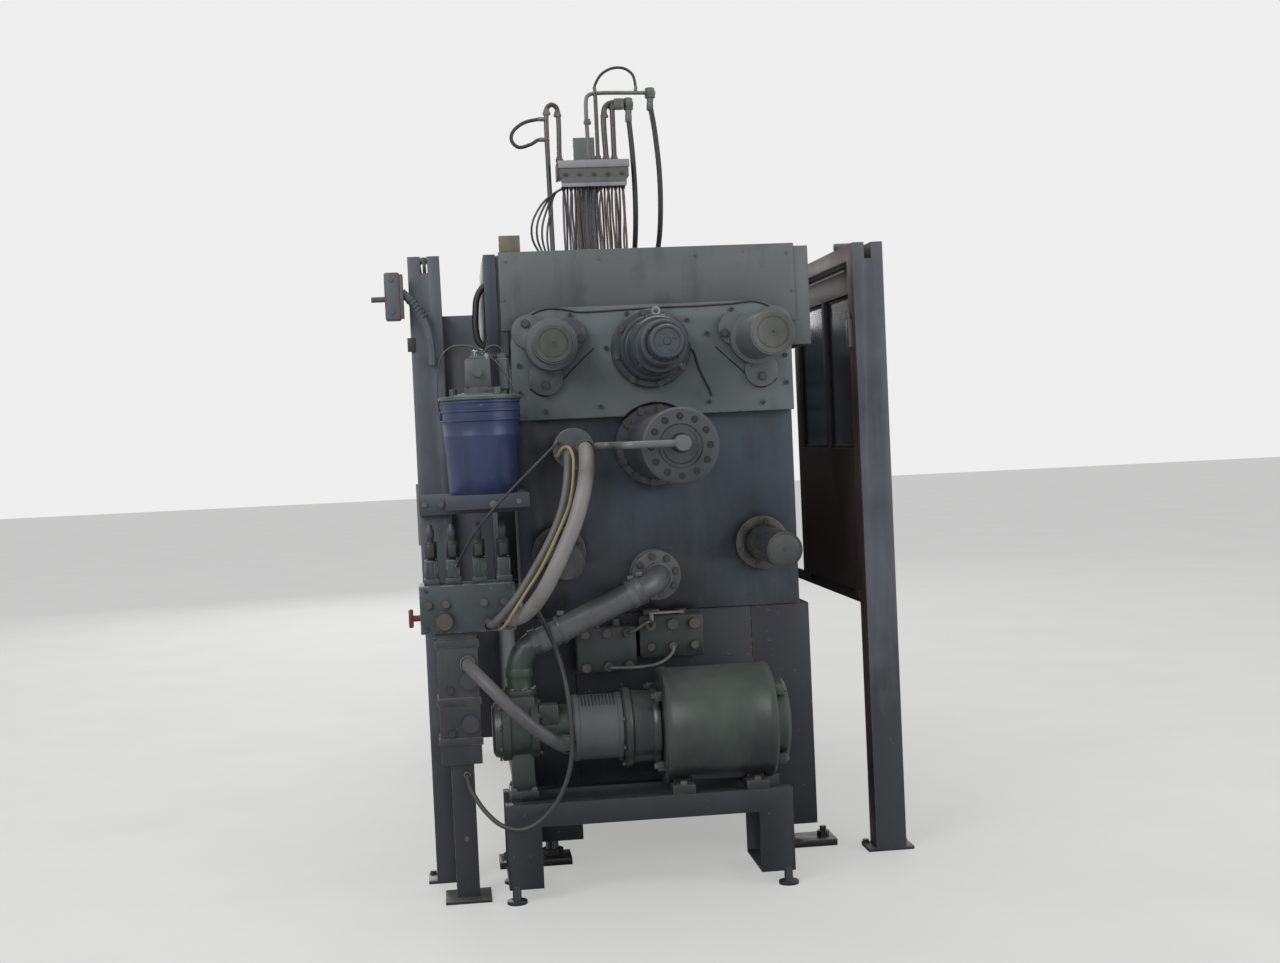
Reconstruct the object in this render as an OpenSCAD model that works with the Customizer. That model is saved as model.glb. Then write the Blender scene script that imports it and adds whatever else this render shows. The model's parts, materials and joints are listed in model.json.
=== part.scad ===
// Cold chamber die casting machine, seen from its clamp end.
// Millimetres, +Z up. X runs across the machine and Y along it, towards the injection end.
// The origin is on the floor, below the middle of the bed.

/* [Clamp] */
// Spacing of the tie bars between centres, across and upwards
tie_spacing = 750; // [700:10:780]
// Diameter of the tie bars
tie_d = 125; // [100:5:135]
// Height of the clamp axis above the floor
axis_h = 1550; // [1520:10:1600]
// Thickness of the rear platen casting
rear_platen_t = 300; // [240:10:360]
// Free length between the rear platen and the moving platen
toggle_gap = 1300; // [1250:10:1400]
// Thickness of the moving platen
moving_platen_t = 280; // [220:10:340]
// Free length between the moving platen and the fixed platen
die_gap = 650; // [600:10:800]
// Thickness of the fixed platen
fixed_platen_t = 300; // [240:10:360]
// Width of the moving and fixed platens
platen_w = 1100; // [1040:10:1160]
// Outside diameter of the closing cylinder
cylinder_d = 230; // [180:5:260]
// How far the closing cylinder stands out behind the rear platen
cylinder_out = 650; // [500:10:750]
// How far the bare ends of the lower tie bars stand out
bar_out = 420; // [350:10:430]

/* [Injection] */
// Length from the fixed platen to the end of the bed
injection_l = 2300; // [2200:10:2600]
// Drop of the shot axis below the clamp axis
shot_drop = 150; // [100:10:200]
// Outside diameter of the shot cylinder
shot_d = 240; // [200:5:280]
// Outside diameter of each accumulator bottle
bottle_d = 240; // [200:5:260]
// Height of each accumulator bottle, dome included
bottle_h = 1350; // [1100:10:1500]

/* [Bed] */
// Height of the bed under the platens
bed_h = 940; // [900:10:980]
// Height of the bed under the injection unit
low_bed_h = 620; // [560:10:680]
// Outside width of the bed
bed_w = 1100; // [1060:10:1200]
// Width of each bed beam
beam_w = 220; // [180:10:260]
// Clearance between the bed and the floor
bed_lift = 110; // [80:5:140]

/* [Guards] */
// Distance from the centre plane to the middle of each door
guard_x = 814; // [790:2:860]
// Height of the guard rails above the floor
guard_h = 2265; // [2200:5:2350]
// Length of each sliding door
door_l = 1200; // [1100:10:1250]
// Thickness of each sliding door
door_t = 34; // [26:2:44]
// Travel of each sliding door
door_travel = 1170; // [900:10:1170]

/* [Pump set] */
// Diameter of the motor body
motor_d = 410; // [360:10:440]
// Height of the motor axis
motor_h = 560; // [540:5:600]
// Outside diameter of the suction pipe
suction_d = 90; // [70:5:100]

/* [Sprayer] */
// Height of the top face of the sprayer head
sprayer_h = 2933; // [2850:5:3000]
// Width of the sprayer head
sprayer_w = 342; // [300:2:400]
// Number of spray tubes in each row
tube_count = 9; // [5:1:11]

/* [Lubrication] */
// Diameter of the pail at its rim
pail_d = 280; // [240:5:290]
// Height of the pail without its lid
pail_h = 322; // [280:2:360]

/* [Hidden] */
$fn = 64;

// Clearance of a seat or a running fit
fit = 0.3;
// Thickness of sheet metal
sheet = 8;

// Places along the machine are counted from the rear face of the gear cover
gear_cover_t = 52;
casting_u = gear_cover_t;
casting_end = casting_u + rear_platen_t;
moving_u = casting_end + toggle_gap;
moving_end = moving_u + moving_platen_t;
fixed_u = moving_end + die_gap;
fixed_end = fixed_u + fixed_platen_t;
bed_start = 60;
step_u = fixed_end;
bed_end = fixed_end + injection_l;
rear_y = -(bed_start + bed_end) / 2;

tie_x = tie_spacing / 2;
tie_high = axis_h + tie_spacing / 2;
lobe_r = 140;
casting_w = tie_spacing + 2 * lobe_r;
casting_top = tie_high + lobe_r;
platen_top = tie_high + 200;
shot_h = axis_h - shot_drop;

// Moves a shape from the gear cover's frame to the part's own frame
module along() {
    translate([0, rear_y, 0]) children();
}

// A box given by its low corner and its high corner
module block(a, b) {
    translate(a) cube(b - a);
}

// A round bar along Y, from u0 to u1
module bar_y(x, z, u0, u1, d) {
    translate([x, u0, z]) rotate([-90, 0, 0]) cylinder(h = u1 - u0, d = d);
}

// A round bar along X, from x0 to x1
module bar_x(u, z, x0, x1, d) {
    translate([x0, u, z]) rotate([0, 90, 0]) cylinder(h = x1 - x0, d = d);
}

// An upright round bar from z0 to z1
module bar_z(x, u, z0, z1, d) {
    translate([x, u, z0]) cylinder(h = z1 - z0, d = d);
}

// Sets one copy on each side of the centre plane
module both_sides() {
    children();
    mirror([1, 0, 0]) children();
}

// The four tie bar centres
module at_ties(xs = [-1, 1], zs = [-1, 1]) {
    for (sx = xs, sz = zs) translate([sx * tie_x, 0, axis_h + sz * tie_x]) children();
}

// The 2D outline of a box with round upper corners, drawn in X and Z
module round_top_outline(w, z0, z1, r) {
    translate([-w / 2, z0]) square([w, z1 - r - z0]);
    translate([-w / 2 + r, z0]) square([w - 2 * r, z1 - z0]);
    for (s = [-1, 1]) translate([s * (w / 2 - r), z1 - r]) circle(r = r);
}

// Stands a 2D outline of X and Z upright and gives it a depth from u0 to u1
module upright(u0, u1) {
    translate([0, u1, 0]) rotate([90, 0, 0]) linear_extrude(u1 - u0) children();
}

// Gives a 2D outline of Y and Z a width from x0 to x1
module crosswise(x0, x1) {
    translate([x0, 0, 0]) rotate([90, 0, 90]) linear_extrude(x1 - x0) children();
}

// A plate with three round corners: the hull of circles of radius r at p, kept exact
module three_corner_outline(p, r) {
    function out(a, b) = let (d = b - a, l = norm(d)) [d[1], -d[0]] / l * r;
    polygon([for (i = [0:2]) each [
        p[i] + out(p[i], p[(i + 1) % 3]),
        p[(i + 1) % 3] + out(p[i], p[(i + 1) % 3])
    ]]);
    for (c = p) translate(c) circle(r = r);
}

// A round pipe through points, with a bend of radius b at each inner point.
// A collar, if it is given, is a sleeve over each end of a bend, that much larger in diameter.
function unit(v) = v / norm(v);
function bend_angle(a, p, b) = acos(max(-1, min(1, unit(p - a) * unit(b - p))));
module pipe_run(points, d, b, collar = 0) {
    n = len(points);
    half = 14;
    back = collar > 0 ? half / 2 : 0;
    cut = [for (i = [0:n - 1])
        (i == 0 || i == n - 1) ? 0
            : b * tan(bend_angle(points[i - 1], points[i], points[i + 1]) / 2)];
    for (i = [0:n - 2]) {
        dir = unit(points[i + 1] - points[i]);
        low = cut[i] + (i > 0 ? back : 0);
        high = norm(points[i + 1] - points[i]) - cut[i + 1] - (i < n - 2 ? back : 0);
        rod(points[i] + dir * low, dir, high - low, d);
        if (collar > 0 && i > 0)
            rod(points[i] + dir * (cut[i] - half), dir, 2 * half, d + collar);
        if (collar > 0 && i < n - 2)
            rod(points[i + 1] - dir * (cut[i + 1] + half), dir, 2 * half, d + collar);
    }
    for (i = [1:n - 2]) elbow(points[i - 1], points[i], points[i + 1], cut[i], d, b);
}

// A straight round rod from a start point along a direction
module rod(start, dir, length, d) {
    side = unit(abs(dir[2]) > 0.9 ? cross(dir, [1, 0, 0]) : cross(dir, [0, 0, 1]));
    other = cross(dir, side);
    multmatrix([
        [side[0], other[0], dir[0], start[0]],
        [side[1], other[1], dir[1], start[1]],
        [side[2], other[2], dir[2], start[2]],
        [0, 0, 0, 1]
    ]) cylinder(h = length, d = d);
}

// A pipe bend at p, on the way from a to c
module elbow(a, p, c, cut, d, b) {
    into = unit(p - a);
    away = unit(c - p);
    turn = bend_angle(a, p, c);
    inward = unit(away - into * cos(turn));
    centre = p - into * cut + inward * b;
    axis = cross(into, inward);
    multmatrix([
        [-inward[0], into[0], axis[0], centre[0]],
        [-inward[1], into[1], axis[1], centre[1]],
        [-inward[2], into[2], axis[2], centre[2]],
        [0, 0, 0, 1]
    ]) rotate_extrude(angle = turn) translate([b, 0]) circle(d = d);
}

// A free hose: rings of a given number of sides swept along hand-placed points
module hose(route, d, sides) {
    n = len(route);
    function heading(i) = unit(route[min(i + 1, n - 1)] - route[max(i - 1, 0)]);
    function side_at(i) = i == 0
        ? unit(cross(heading(0), abs(heading(0)[2]) > 0.9 ? [1, 0, 0] : [0, 0, 1]))
        : let (s = side_at(i - 1), h = heading(i)) unit(s - h * (s * h));
    sides_dir = [for (i = [0:n - 1]) side_at(i)];
    points = [for (i = [0:n - 1], k = [0:sides - 1])
        let (s = sides_dir[i], o = cross(heading(i), s), a = 360 * k / sides)
        route[i] + (s * cos(a) + o * sin(a)) * d / 2];
    walls = [for (i = [0:n - 2], k = [0:sides - 1])
        let (j = (k + 1) % sides)
        [i * sides + k, (i + 1) * sides + k, (i + 1) * sides + j, i * sides + j]];
    start_cap = [for (k = [0:sides - 1]) k];
    end_cap = [for (k = [sides - 1:-1:0]) (n - 1) * sides + k];
    polyhedron(points, concat(walls, [start_cap, end_cap]), convexity = 6);
}

// Bed
foot_d = 140;
foot_t = 25;
screw_d = 48;
wall_t = 40;
end_foot = 150;
anchor_x = bed_w / 2 + 50;
anchor_d = 26;
foot_edge = 40;
clamp_foot = 1400;
step_foot = 80;
low_foot = 1080;
feet_u = [bed_start + clamp_foot, step_u - step_foot, step_u + low_foot];
end_feet_u = [bed_start + end_foot, bed_end - end_foot];
beam_in = bed_w / 2 - beam_w;
beam_mid = bed_w / 2 - beam_w / 2;

module bed_beams() {
    color("darkslategray") along() both_sides()
        crosswise(beam_in, bed_w / 2) polygon([
            [bed_start, bed_lift], [bed_end, bed_lift], [bed_end, low_bed_h],
            [step_u, low_bed_h], [step_u, bed_h], [bed_start, bed_h]
        ]);
}

wall_low = 400;
wall_drop = 60;
end_wall_low = 200;
end_wall_h = 700;
wall_u = [bed_start + 240, moving_u - 100, fixed_u + 100];
module bed_cross_walls() {
    color("darkslategray") along() {
        for (u = wall_u) block([-beam_in, u, wall_low], [beam_in, u + wall_t, bed_h - wall_drop]);
        block([-beam_in, bed_end - wall_t, end_wall_low], [beam_in, bed_end, low_bed_h]);
        block([-beam_in, bed_start, bed_h - end_wall_h], [beam_in, bed_start + wall_t, bed_h]);
    }
}

module levelling_feet() {
    color("dimgray") along() both_sides() {
        for (u = concat(feet_u, end_feet_u)) bar_z(beam_mid, u, foot_t, bed_lift, screw_d);
        for (u = feet_u) bar_z(beam_mid, u, 0, foot_t, foot_d);
        for (u = end_feet_u) difference() {
            block([beam_mid - foot_d / 2, u - foot_d / 2, 0], [anchor_x + foot_edge, u + foot_d / 2, foot_t]);
            bar_z(anchor_x, u, -1, foot_t + 1, anchor_d);
        }
    }
}

tank_u = step_u + 140;
tank_end = bed_end - wall_t - 200;
tank_low = 180;
tank_h = 560;
lid_edge = 40;
tank_lid_t = 12;
filler = [140, 180];
filler_d = 90;
filler_h = 90;
module oil_tank() {
    color("olivedrab") along() {
        block([-beam_in, tank_u, tank_low], [beam_in, tank_end, tank_h]);
        block([-beam_in + lid_edge, tank_u + lid_edge, tank_h],
              [beam_in - lid_edge, tank_end - lid_edge, tank_h + tank_lid_t]);
        bar_z(-beam_in + filler[0], tank_u + filler[1], tank_h + tank_lid_t, tank_h + filler_h, filler_d);
    }
}

// Rear platen
lug_in = 110;
lug_t = 35;
link_t = 70;
pin_d = 70;
lug_z = 290;
rear_pin_u = casting_end + 110;
link_a = lug_in + lug_t + 1;

// A pair of cheeks that hold a pin, standing out from a face at u0 towards u1
module lug_pair(x, u0, pin_u, z) {
    toward = pin_u > u0 ? 1 : -1;
    for (sx = [x, x + lug_t + link_t + 2]) difference() {
        union() {
            block([sx, min(u0, pin_u), z - 75], [sx + lug_t, max(u0, pin_u), z + 75]);
            bar_x(pin_u, z, sx, sx + lug_t, 150);
        }
        bar_x(pin_u, z, sx - 1, sx + lug_t + 1, pin_d + 2 * fit);
    }
}

module rear_platen() {
    color("darkslategray") along() {
        difference() {
            upright(casting_u, casting_end)
                round_top_outline(casting_w, bed_h, casting_top, lobe_r);
            at_ties() bar_y(0, 0, casting_u - 1, casting_end + 1, tie_d + 2 * fit);
            bar_y(0, axis_h, casting_u - 1, casting_end + 1, cylinder_d + 2 * fit);
        }
        both_sides() for (s = [-1, 1])
            lug_pair(lug_in, casting_end, rear_pin_u, axis_h + s * lug_z);
    }
}

gear_low = axis_h + 110;
cylinder_flange_d = cylinder_d + 70;
module gear_cover() {
    color("darkslategray") along() difference() {
        upright(0, gear_cover_t) round_top_outline(casting_w, gear_low, casting_top, lobe_r);
        at_ties(zs = [1]) bar_y(0, 0, -1, gear_cover_t + 1, tie_d + 2 * fit);
        bar_y(0, axis_h, -1, gear_cover_t + 1, cylinder_flange_d + 16);
    }
}

hood_w = 1200;
hood_rise = 200;
hood_top = casting_top + hood_rise;
hood_skirt = 1900;
hood_l = 1050;
hood_end = casting_end + hood_l;
hood_gap = 5;
plate_w = 1090;
plate_u = 40;
plate_low = 1990;
plate_lip = 10;
rib_x = 300;
rib_w = 80;
rib_back = 40;
module toggle_hood() {
    color("darkslategray") along() {
        difference() {
            block([-plate_w / 2, plate_u, plate_low], [plate_w / 2, casting_u, hood_top + plate_lip]);
            upright(plate_u - 1, casting_u + 1)
                round_top_outline(casting_w + 4 * fit, bed_h, casting_top + 2 * fit, lobe_r + 2 * fit);
        }
        block([-hood_w / 2, casting_u, hood_top - sheet], [hood_w / 2, hood_end, hood_top]);
        both_sides() {
            block([hood_w / 2 - sheet, casting_u, hood_skirt],
                  [hood_w / 2, hood_end, hood_top - sheet]);
            block([casting_w / 2 + hood_gap, casting_u, hood_skirt],
                  [hood_w / 2 - sheet, casting_u + sheet, hood_top - sheet]);
            block([rib_x, casting_u + rib_back, casting_top],
                  [rib_x + rib_w, casting_end - rib_back, hood_top - sheet]);
        }
    }
}

// Tie bars and what closes their ends
flange_t = 24;
cap_out = 215;
sleeve_out = 373;
bar_in_cap = 120;
module nut_flange(s) {
    corners = [[70 * s, 40], [-75 * s, 55], [-20 * s, -115]];
    upright(-flange_t, 0) translate([s * -tie_x, tie_high])
        three_corner_outline(s < 0 ? [corners[0], corners[1], corners[2]]
                                   : [corners[0], corners[2], corners[1]], 62);
}

module nut_cover() {
    color("slategray") along() difference() {
        union() {
            nut_flange(1);
            bar_y(-tie_x, tie_high, -150, -flange_t, 184);
            bar_y(-tie_x, tie_high, -cap_out, -150, 146);
        }
        bar_y(-tie_x, tie_high, -bar_in_cap, 1, tie_d + 2 * fit);
    }
}

module nut_sleeve() {
    color("slategray") along() difference() {
        union() {
            nut_flange(-1);
            bar_y(tie_x, tie_high, -60, -flange_t, 190);
            bar_y(tie_x, tie_high, -sleeve_out, -60, 157);
        }
        bar_y(tie_x, tie_high, -bar_in_cap, 1, tie_d + 2 * fit);
    }
}

module nut_covers() {
    nut_cover();
    nut_sleeve();
}

nut_d = 210;
nut_l = 150;
module tie_nuts() {
    color("dimgray") along() {
        at_ties(zs = [-1]) difference() {
            bar_y(0, 0, casting_u - 50, casting_u, 196);
            bar_y(0, 0, casting_u - 51, casting_u + 1, tie_d + 2 * fit);
        }
        at_ties() difference() {
            bar_y(0, 0, fixed_end, fixed_end + nut_l, nut_d);
            bar_y(0, 0, fixed_end - 1, fixed_end + nut_l + 1, tie_d + 2 * fit);
        }
    }
}

module tie_bars() {
    color("silver") along() {
        at_ties(zs = [1]) bar_y(0, 0, fit - bar_in_cap, fixed_end + nut_l + 60, tie_d);
        at_ties(zs = [-1]) bar_y(0, 0, -bar_out, fixed_end + nut_l + 60, tie_d);
    }
}

// Gear motor that sets the die height
gear_axis = [-10, axis_h + 352];
module gear_motor() {
    steps = [[0, 55, 288], [55, 110, 236], [110, 300, 204], [300, 430, 160], [430, 500, 117]];
    color("slategray") along() {
        for (s = steps) bar_y(gear_axis[0], gear_axis[1], -s[1], -s[0], s[2]);
        bar_z(gear_axis[0] + 30, -200, gear_axis[1] + 90, gear_axis[1] + 140, 20);
    }
}

// Closing cylinder, crosshead and toggle
cylinder_cap = 60;
rod_d = 90;
crosshead_u = casting_end + 430;
crosshead_t = 150;
crosshead_web = 22;
module closing_cylinder() {
    color("darkslategray") along() {
        bar_y(0, axis_h, -cylinder_out + cylinder_cap, casting_end, cylinder_d);
        bar_y(0, axis_h, -cylinder_out, -cylinder_out + cylinder_cap, cylinder_d + 26);
        bar_y(0, axis_h, casting_u - 45, casting_u, cylinder_flange_d);
    }
}

module crosshead() {
    color("dimgray") along() {
        bar_y(0, axis_h, casting_end, crosshead_u, rod_d);
        difference() {
            block([-250, crosshead_u, axis_h - 105], [250, crosshead_u + crosshead_t, axis_h + 105]);
            both_sides() for (s = [-1, 1])
                bar_x(crosshead_u + crosshead_t / 2, axis_h + s * 60, link_a - 12 - fit,
                      link_a + link_t + 12 + fit, small_pin_d + 2 * fit);
            both_sides() block([link_a + 18, crosshead_u - 1, axis_h - 106],
                               [link_a + link_t - 18, crosshead_u + crosshead_t - crosshead_web,
                                axis_h + 106]);
        }
    }
}

moving_lug_u = moving_u - 110;
knee_u = (rear_pin_u + moving_lug_u) / 2;
knee_z = lug_z - 60;
// A flat link between two pins, given in Y and Z
module link(a, b, width, x0, x1) {
    side = [a[1] - b[1], b[0] - a[0]] / norm(b - a) * width / 2;
    crosswise(x0, x1) {
        polygon([a + side, b + side, b - side, a - side]);
        for (p = [a, b]) translate(p) circle(d = width);
    }
}

plate_t = 20;
small_pin_d = 46;
module toggle_links() {
    color("gray") along() both_sides() for (s = [-1, 1]) {
        rear_pin = [rear_pin_u, axis_h + s * lug_z];
        knee = [knee_u, axis_h + s * knee_z];
        front_pin = [moving_lug_u, axis_h + s * lug_z];
        small_pin = [crosshead_u + crosshead_t / 2, axis_h + s * 60];
        mid = [(rear_pin[0] + knee[0] * 3) / 4, (rear_pin[1] + knee[1] * 3) / 4];
        inner = link_a + plate_t + 3;
        outer = link_a + link_t - plate_t - 3;
        link(rear_pin, knee, 120, link_a, link_a + plate_t);
        link(rear_pin, knee, 120, link_a + link_t - plate_t, link_a + link_t);
        link(knee, front_pin, 120, inner, outer);
        link(mid, small_pin, 80, inner, outer);
        bar_x(rear_pin[0], rear_pin[1], lug_in - 4, lug_in + 2 * lug_t + link_t + 6, pin_d);
        bar_x(front_pin[0], front_pin[1], lug_in - 4, lug_in + 2 * lug_t + link_t + 6, pin_d);
        bar_x(knee[0], knee[1], link_a - 6, link_a + link_t + 6, pin_d);
        bar_x(mid[0], mid[1], link_a - 5, link_a + link_t + 5, small_pin_d);
        bar_x(small_pin[0], small_pin[1], link_a - 12, link_a + link_t + 12, small_pin_d);
    }
}

// Moving platen and fixed platen
slot_w = 28;
slot_deep = 45;
slot_pitch = 130;
shoe_t = 15;
shoe_out = 60;
shoe_in = 20;
shoe_edge = 10;
module die_slots(face_u, inward) {
    u0 = min(face_u - inward, face_u + inward * slot_deep);
    u1 = max(face_u - inward, face_u + inward * slot_deep);
    w0 = min(face_u + inward * 25, face_u + inward * slot_deep);
    w1 = max(face_u + inward * 25, face_u + inward * slot_deep);
    for (k = [-2:2]) {
        z = axis_h + k * slot_pitch;
        block([-platen_w / 2 - 1, u0, z - slot_w / 2], [platen_w / 2 + 1, u1, z + slot_w / 2]);
        block([-platen_w / 2 - 1, w0, z - slot_w], [platen_w / 2 + 1, w1, z + slot_w]);
    }
}

module moving_platen() {
    color("darkslategray") along() {
        difference() {
            union() {
                upright(moving_u, moving_end)
                    round_top_outline(platen_w, bed_h + shoe_t / 2, platen_top, 120);
                both_sides() block([beam_in + shoe_in, moving_u - shoe_out, bed_h],
                                   [bed_w / 2 - shoe_edge, moving_end + shoe_out, bed_h + shoe_t]);
            }
            at_ties() bar_y(0, 0, moving_u - 1, moving_end + 1, tie_d + 2 * fit);
            die_slots(moving_end, -1);
        }
        both_sides() for (s = [-1, 1])
            lug_pair(lug_in, moving_u, moving_lug_u, axis_h + s * lug_z);
    }
}

sleeve_d = 150;
plunger_bore = 80;
module fixed_platen() {
    color("darkslategray") along() difference() {
        upright(fixed_u, fixed_end) round_top_outline(platen_w, bed_h, platen_top, 120);
        at_ties() bar_y(0, 0, fixed_u - 1, fixed_end + 1, tie_d + 2 * fit);
        bar_y(0, shot_h, fixed_u - 1, fixed_end + 1, sleeve_d + 2 * fit);
        die_slots(fixed_u, 1);
    }
}

// Injection unit
column_d = 110;
column_x = 260;
yoke_back = 1120;
yoke_u = fixed_end + yoke_back;
yoke_t = 150;
yoke_x = 360;
yoke_h = 220;
leg_in = 10;
leg_out = 40;
rod_gap = 5;
shot_back = 120;
shot_end = bed_end - shot_back;
sleeve_out_l = 430;
sleeve_end = fixed_end + sleeve_out_l;
module injection_frame() {
    color("darkslategray") along() {
        both_sides() bar_y(column_x, shot_h, fixed_end, yoke_u, column_d);
        difference() {
            block([-yoke_x, yoke_u, shot_h - yoke_h], [yoke_x, yoke_u + yoke_t, shot_h + yoke_h]);
            bar_y(0, shot_h, yoke_u - 1, yoke_u + yoke_t + 1, rod_d + 2 * rod_gap);
        }
        both_sides() block([beam_in + leg_in, yoke_u - leg_out, low_bed_h],
                           [yoke_x, yoke_u + yoke_t, shot_h - yoke_h]);
    }
}

shot_flange = 60;
shot_front_t = 70;
shot_cap_t = 90;
manifold_w = 220;
manifold_h = 150;
manifold_sunk = 20;
manifold_from = 180;
manifold_to = 260;
module shot_cylinder() {
    color("slategray") along() {
        bar_y(0, shot_h, yoke_u + yoke_t, shot_end, shot_d);
        bar_y(0, shot_h, yoke_u + yoke_t, yoke_u + yoke_t + shot_front_t, shot_d + shot_flange);
        bar_y(0, shot_h, shot_end - shot_cap_t, shot_end, shot_d + shot_flange);
        block([-manifold_w / 2, yoke_u + yoke_t + manifold_from, shot_h + shot_d / 2 - manifold_sunk],
              [manifold_w / 2, shot_end - manifold_to, shot_h + shot_d / 2 - manifold_sunk + manifold_h]);
    }
}

module shot_sleeve() {
    color("dimgray") along() difference() {
        bar_y(0, shot_h, fixed_u + 60, sleeve_end, sleeve_d);
        bar_y(0, shot_h, fixed_u + 59, sleeve_end + 1, plunger_bore);
        block([-plunger_bore / 2 + 5, sleeve_end - 190, shot_h],
              [plunger_bore / 2 - 5, sleeve_end - 70, shot_h + sleeve_d]);
    }
}

module shot_plunger() {
    color("silver") along() {
        bar_y(0, shot_h, sleeve_end - 60, sleeve_end + 20, plunger_bore - 2 * fit);
        bar_y(0, shot_h, sleeve_end + 20, yoke_u - 260, 60);
        bar_y(0, shot_h, yoke_u - 260, yoke_u - 120, 130);
        bar_y(0, shot_h, yoke_u - 120, yoke_u + yoke_t, rod_d);
    }
}

bottle_x = bed_w / 2 - 90;
bottle_back = 300;
bottle_pitch = 320;
bottle_foot_h = 60;
bottle_neck_d = 50;
bottle_neck_h = 60;
module accumulators() {
    color("slategray") along() for (k = [0, 1]) translate([bottle_x, bed_end - bottle_back - k * bottle_pitch, low_bed_h]) {
        cylinder(h = bottle_foot_h, d = bottle_d - bottle_foot_h);
        translate([0, 0, bottle_foot_h]) cylinder(h = bottle_h - bottle_foot_h - bottle_d / 2, d = bottle_d);
        translate([0, 0, bottle_h - bottle_d / 2]) sphere(d = bottle_d);
        translate([0, 0, bottle_h - 10]) cylinder(h = bottle_neck_h + 10, d = bottle_neck_d);
    }
}

// Guards: posts, twin rails and a sliding door on each side
rail_w = 44;
rail_gap = 26;
rail_h = 60;
post_deep = 100;
guard_w = 2 * rail_w + rail_gap;
guard_end = fixed_u + 60;
rail_low = guard_h - rail_h;
lower_rail_h = 945;
door_start = post_deep + 15;
door_low = 950;
door_top = rail_low - 20;
hanger_u = [door_start + 200, door_start + door_l - 100];
stop_u = hanger_u[1] + 40 + door_travel + 7;
module guard_frame() {
    color("darkslategray") along() {
        for (u = [0, guard_end - post_deep]) {
            block([guard_x - guard_w / 2, u, 12], [guard_x + guard_w / 2, u + post_deep, rail_low]);
            block([guard_x - guard_w / 2 - 30, u, 0], [guard_x + guard_w / 2 + 30, u + post_deep + 20, 12]);
        }
        block([guard_x - guard_w / 2, 0, rail_low], [guard_x - rail_gap / 2, guard_end, guard_h]);
        block([guard_x + rail_gap / 2, 0, rail_low], [guard_x + guard_w / 2, guard_end, guard_h]);
        block([guard_x - 5, post_deep, lower_rail_h - 45], [guard_x + 5, guard_end - post_deep, lower_rail_h]);
        block([guard_x - rail_gap / 2, stop_u, rail_low], [guard_x + rail_gap / 2, stop_u + 30, guard_h + 30]);
    }
}
module guard_frame_left() { mirror([1, 0, 0]) guard_frame(); }
module guard_frame_right() { guard_frame(); }

// Sheets that close the space between the guards and the fixed platen
shield_low = 60;
shield_drop = 25;
shield_t = 16;
shield_in = 60;
module guard_shields() {
    color("darkslategray") along() both_sides()
        block([platen_w / 2, fixed_u + shield_in, shield_low],
              [guard_x - guard_w / 2, fixed_u + shield_in + shield_t, guard_h - shield_drop]);
}

frame_w = 90;
window_low = 1500;
roller_d = 30;
hanger_t = 12;
pane_t = 6;
mid_u = door_start + door_l / 2;
module door() {
    windows = [[door_start + frame_w, mid_u - 25], [mid_u + 25, door_start + door_l - frame_w]];
    color("darkslategray") along() {
        difference() {
            block([guard_x - door_t / 2, door_start, door_low],
                  [guard_x + door_t / 2, door_start + door_l, door_top]);
            for (w = windows)
                block([guard_x - door_t, w[0], window_low], [guard_x + door_t, w[1], door_top - frame_w]);
        }
        for (u = hanger_u) {
            block([guard_x - hanger_t / 2, u - 40, door_top], [guard_x + hanger_t / 2, u + 40, guard_h + roller_d - 5]);
            difference() {
                bar_x(u, guard_h + roller_d / 2 + fit, guard_x - guard_w / 2 + 5,
                      guard_x + guard_w / 2 - 5, roller_d);
                block([guard_x - rail_gap / 2 + 2, u - 60, guard_h - 10],
                      [guard_x - hanger_t / 2 - 1, u + 60, guard_h + roller_d / 3]);
                block([guard_x + hanger_t / 2 + 1, u - 60, guard_h - 10],
                      [guard_x + rail_gap / 2 - 2, u + 60, guard_h + roller_d / 3]);
            }
            for (s = [-1, 1])
                block([guard_x + s * 13.5 - 3.5, u - 30, door_low - 30],
                      [guard_x + s * 13.5 + 3.5, u + 30, door_low]);
        }
    }
}
module door_left() { mirror([1, 0, 0]) door(); }
module door_right() { door(); }

module panes() {
    windows = [[door_start + frame_w, mid_u - 25], [mid_u + 25, door_start + door_l - frame_w]];
    color("darkslateblue") along() for (w = windows)
        block([guard_x - pane_t / 2, w[0], window_low], [guard_x + pane_t / 2, w[1], door_top - frame_w]);
}
module panes_left() { mirror([1, 0, 0]) panes(); }
module panes_right() { panes(); }

// Work lamp on its bent tube
lamp_route = [
    [-895, -45, 2136], [-868, -45, 2108], [-840, -45, 2068], [-818, -45, 2020],
    [-804, -45, 1965], [-799, -45, 1915], [-798, -45, 1872]
];
module lamp() {
    color("gray") along() {
        block([-955, -75, 2035], [-889, -15, 2205]);
        bar_x(-45, 2112, -1003, -955, 20);
        hose(lamp_route, 30, 12);
        bar_y(-798, 1892, -45, 0, 34);
    }
}

// Pail on its shelf, with a lubricant pump on the lid
shelf_top = 1413;
pail_x = -641;
pail_u = -250;
pail_base_d = pail_d - 42;
module pail_shelf() {
    color("darkslategray") along() {
        block([-773, -410, shelf_top - 12], [-491, -30, shelf_top]);
        block([-773, -410, shelf_top - 47], [-767, -30, shelf_top - 12]);
        block([-497, -410, shelf_top - 47], [-491, -30, shelf_top - 12]);
        block([-773, -416, shelf_top - 47], [-491, -410, shelf_top]);
        block([-guard_x - guard_w / 2, -30, shelf_top - 77], [-491, 0, shelf_top]);
    }
}

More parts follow.
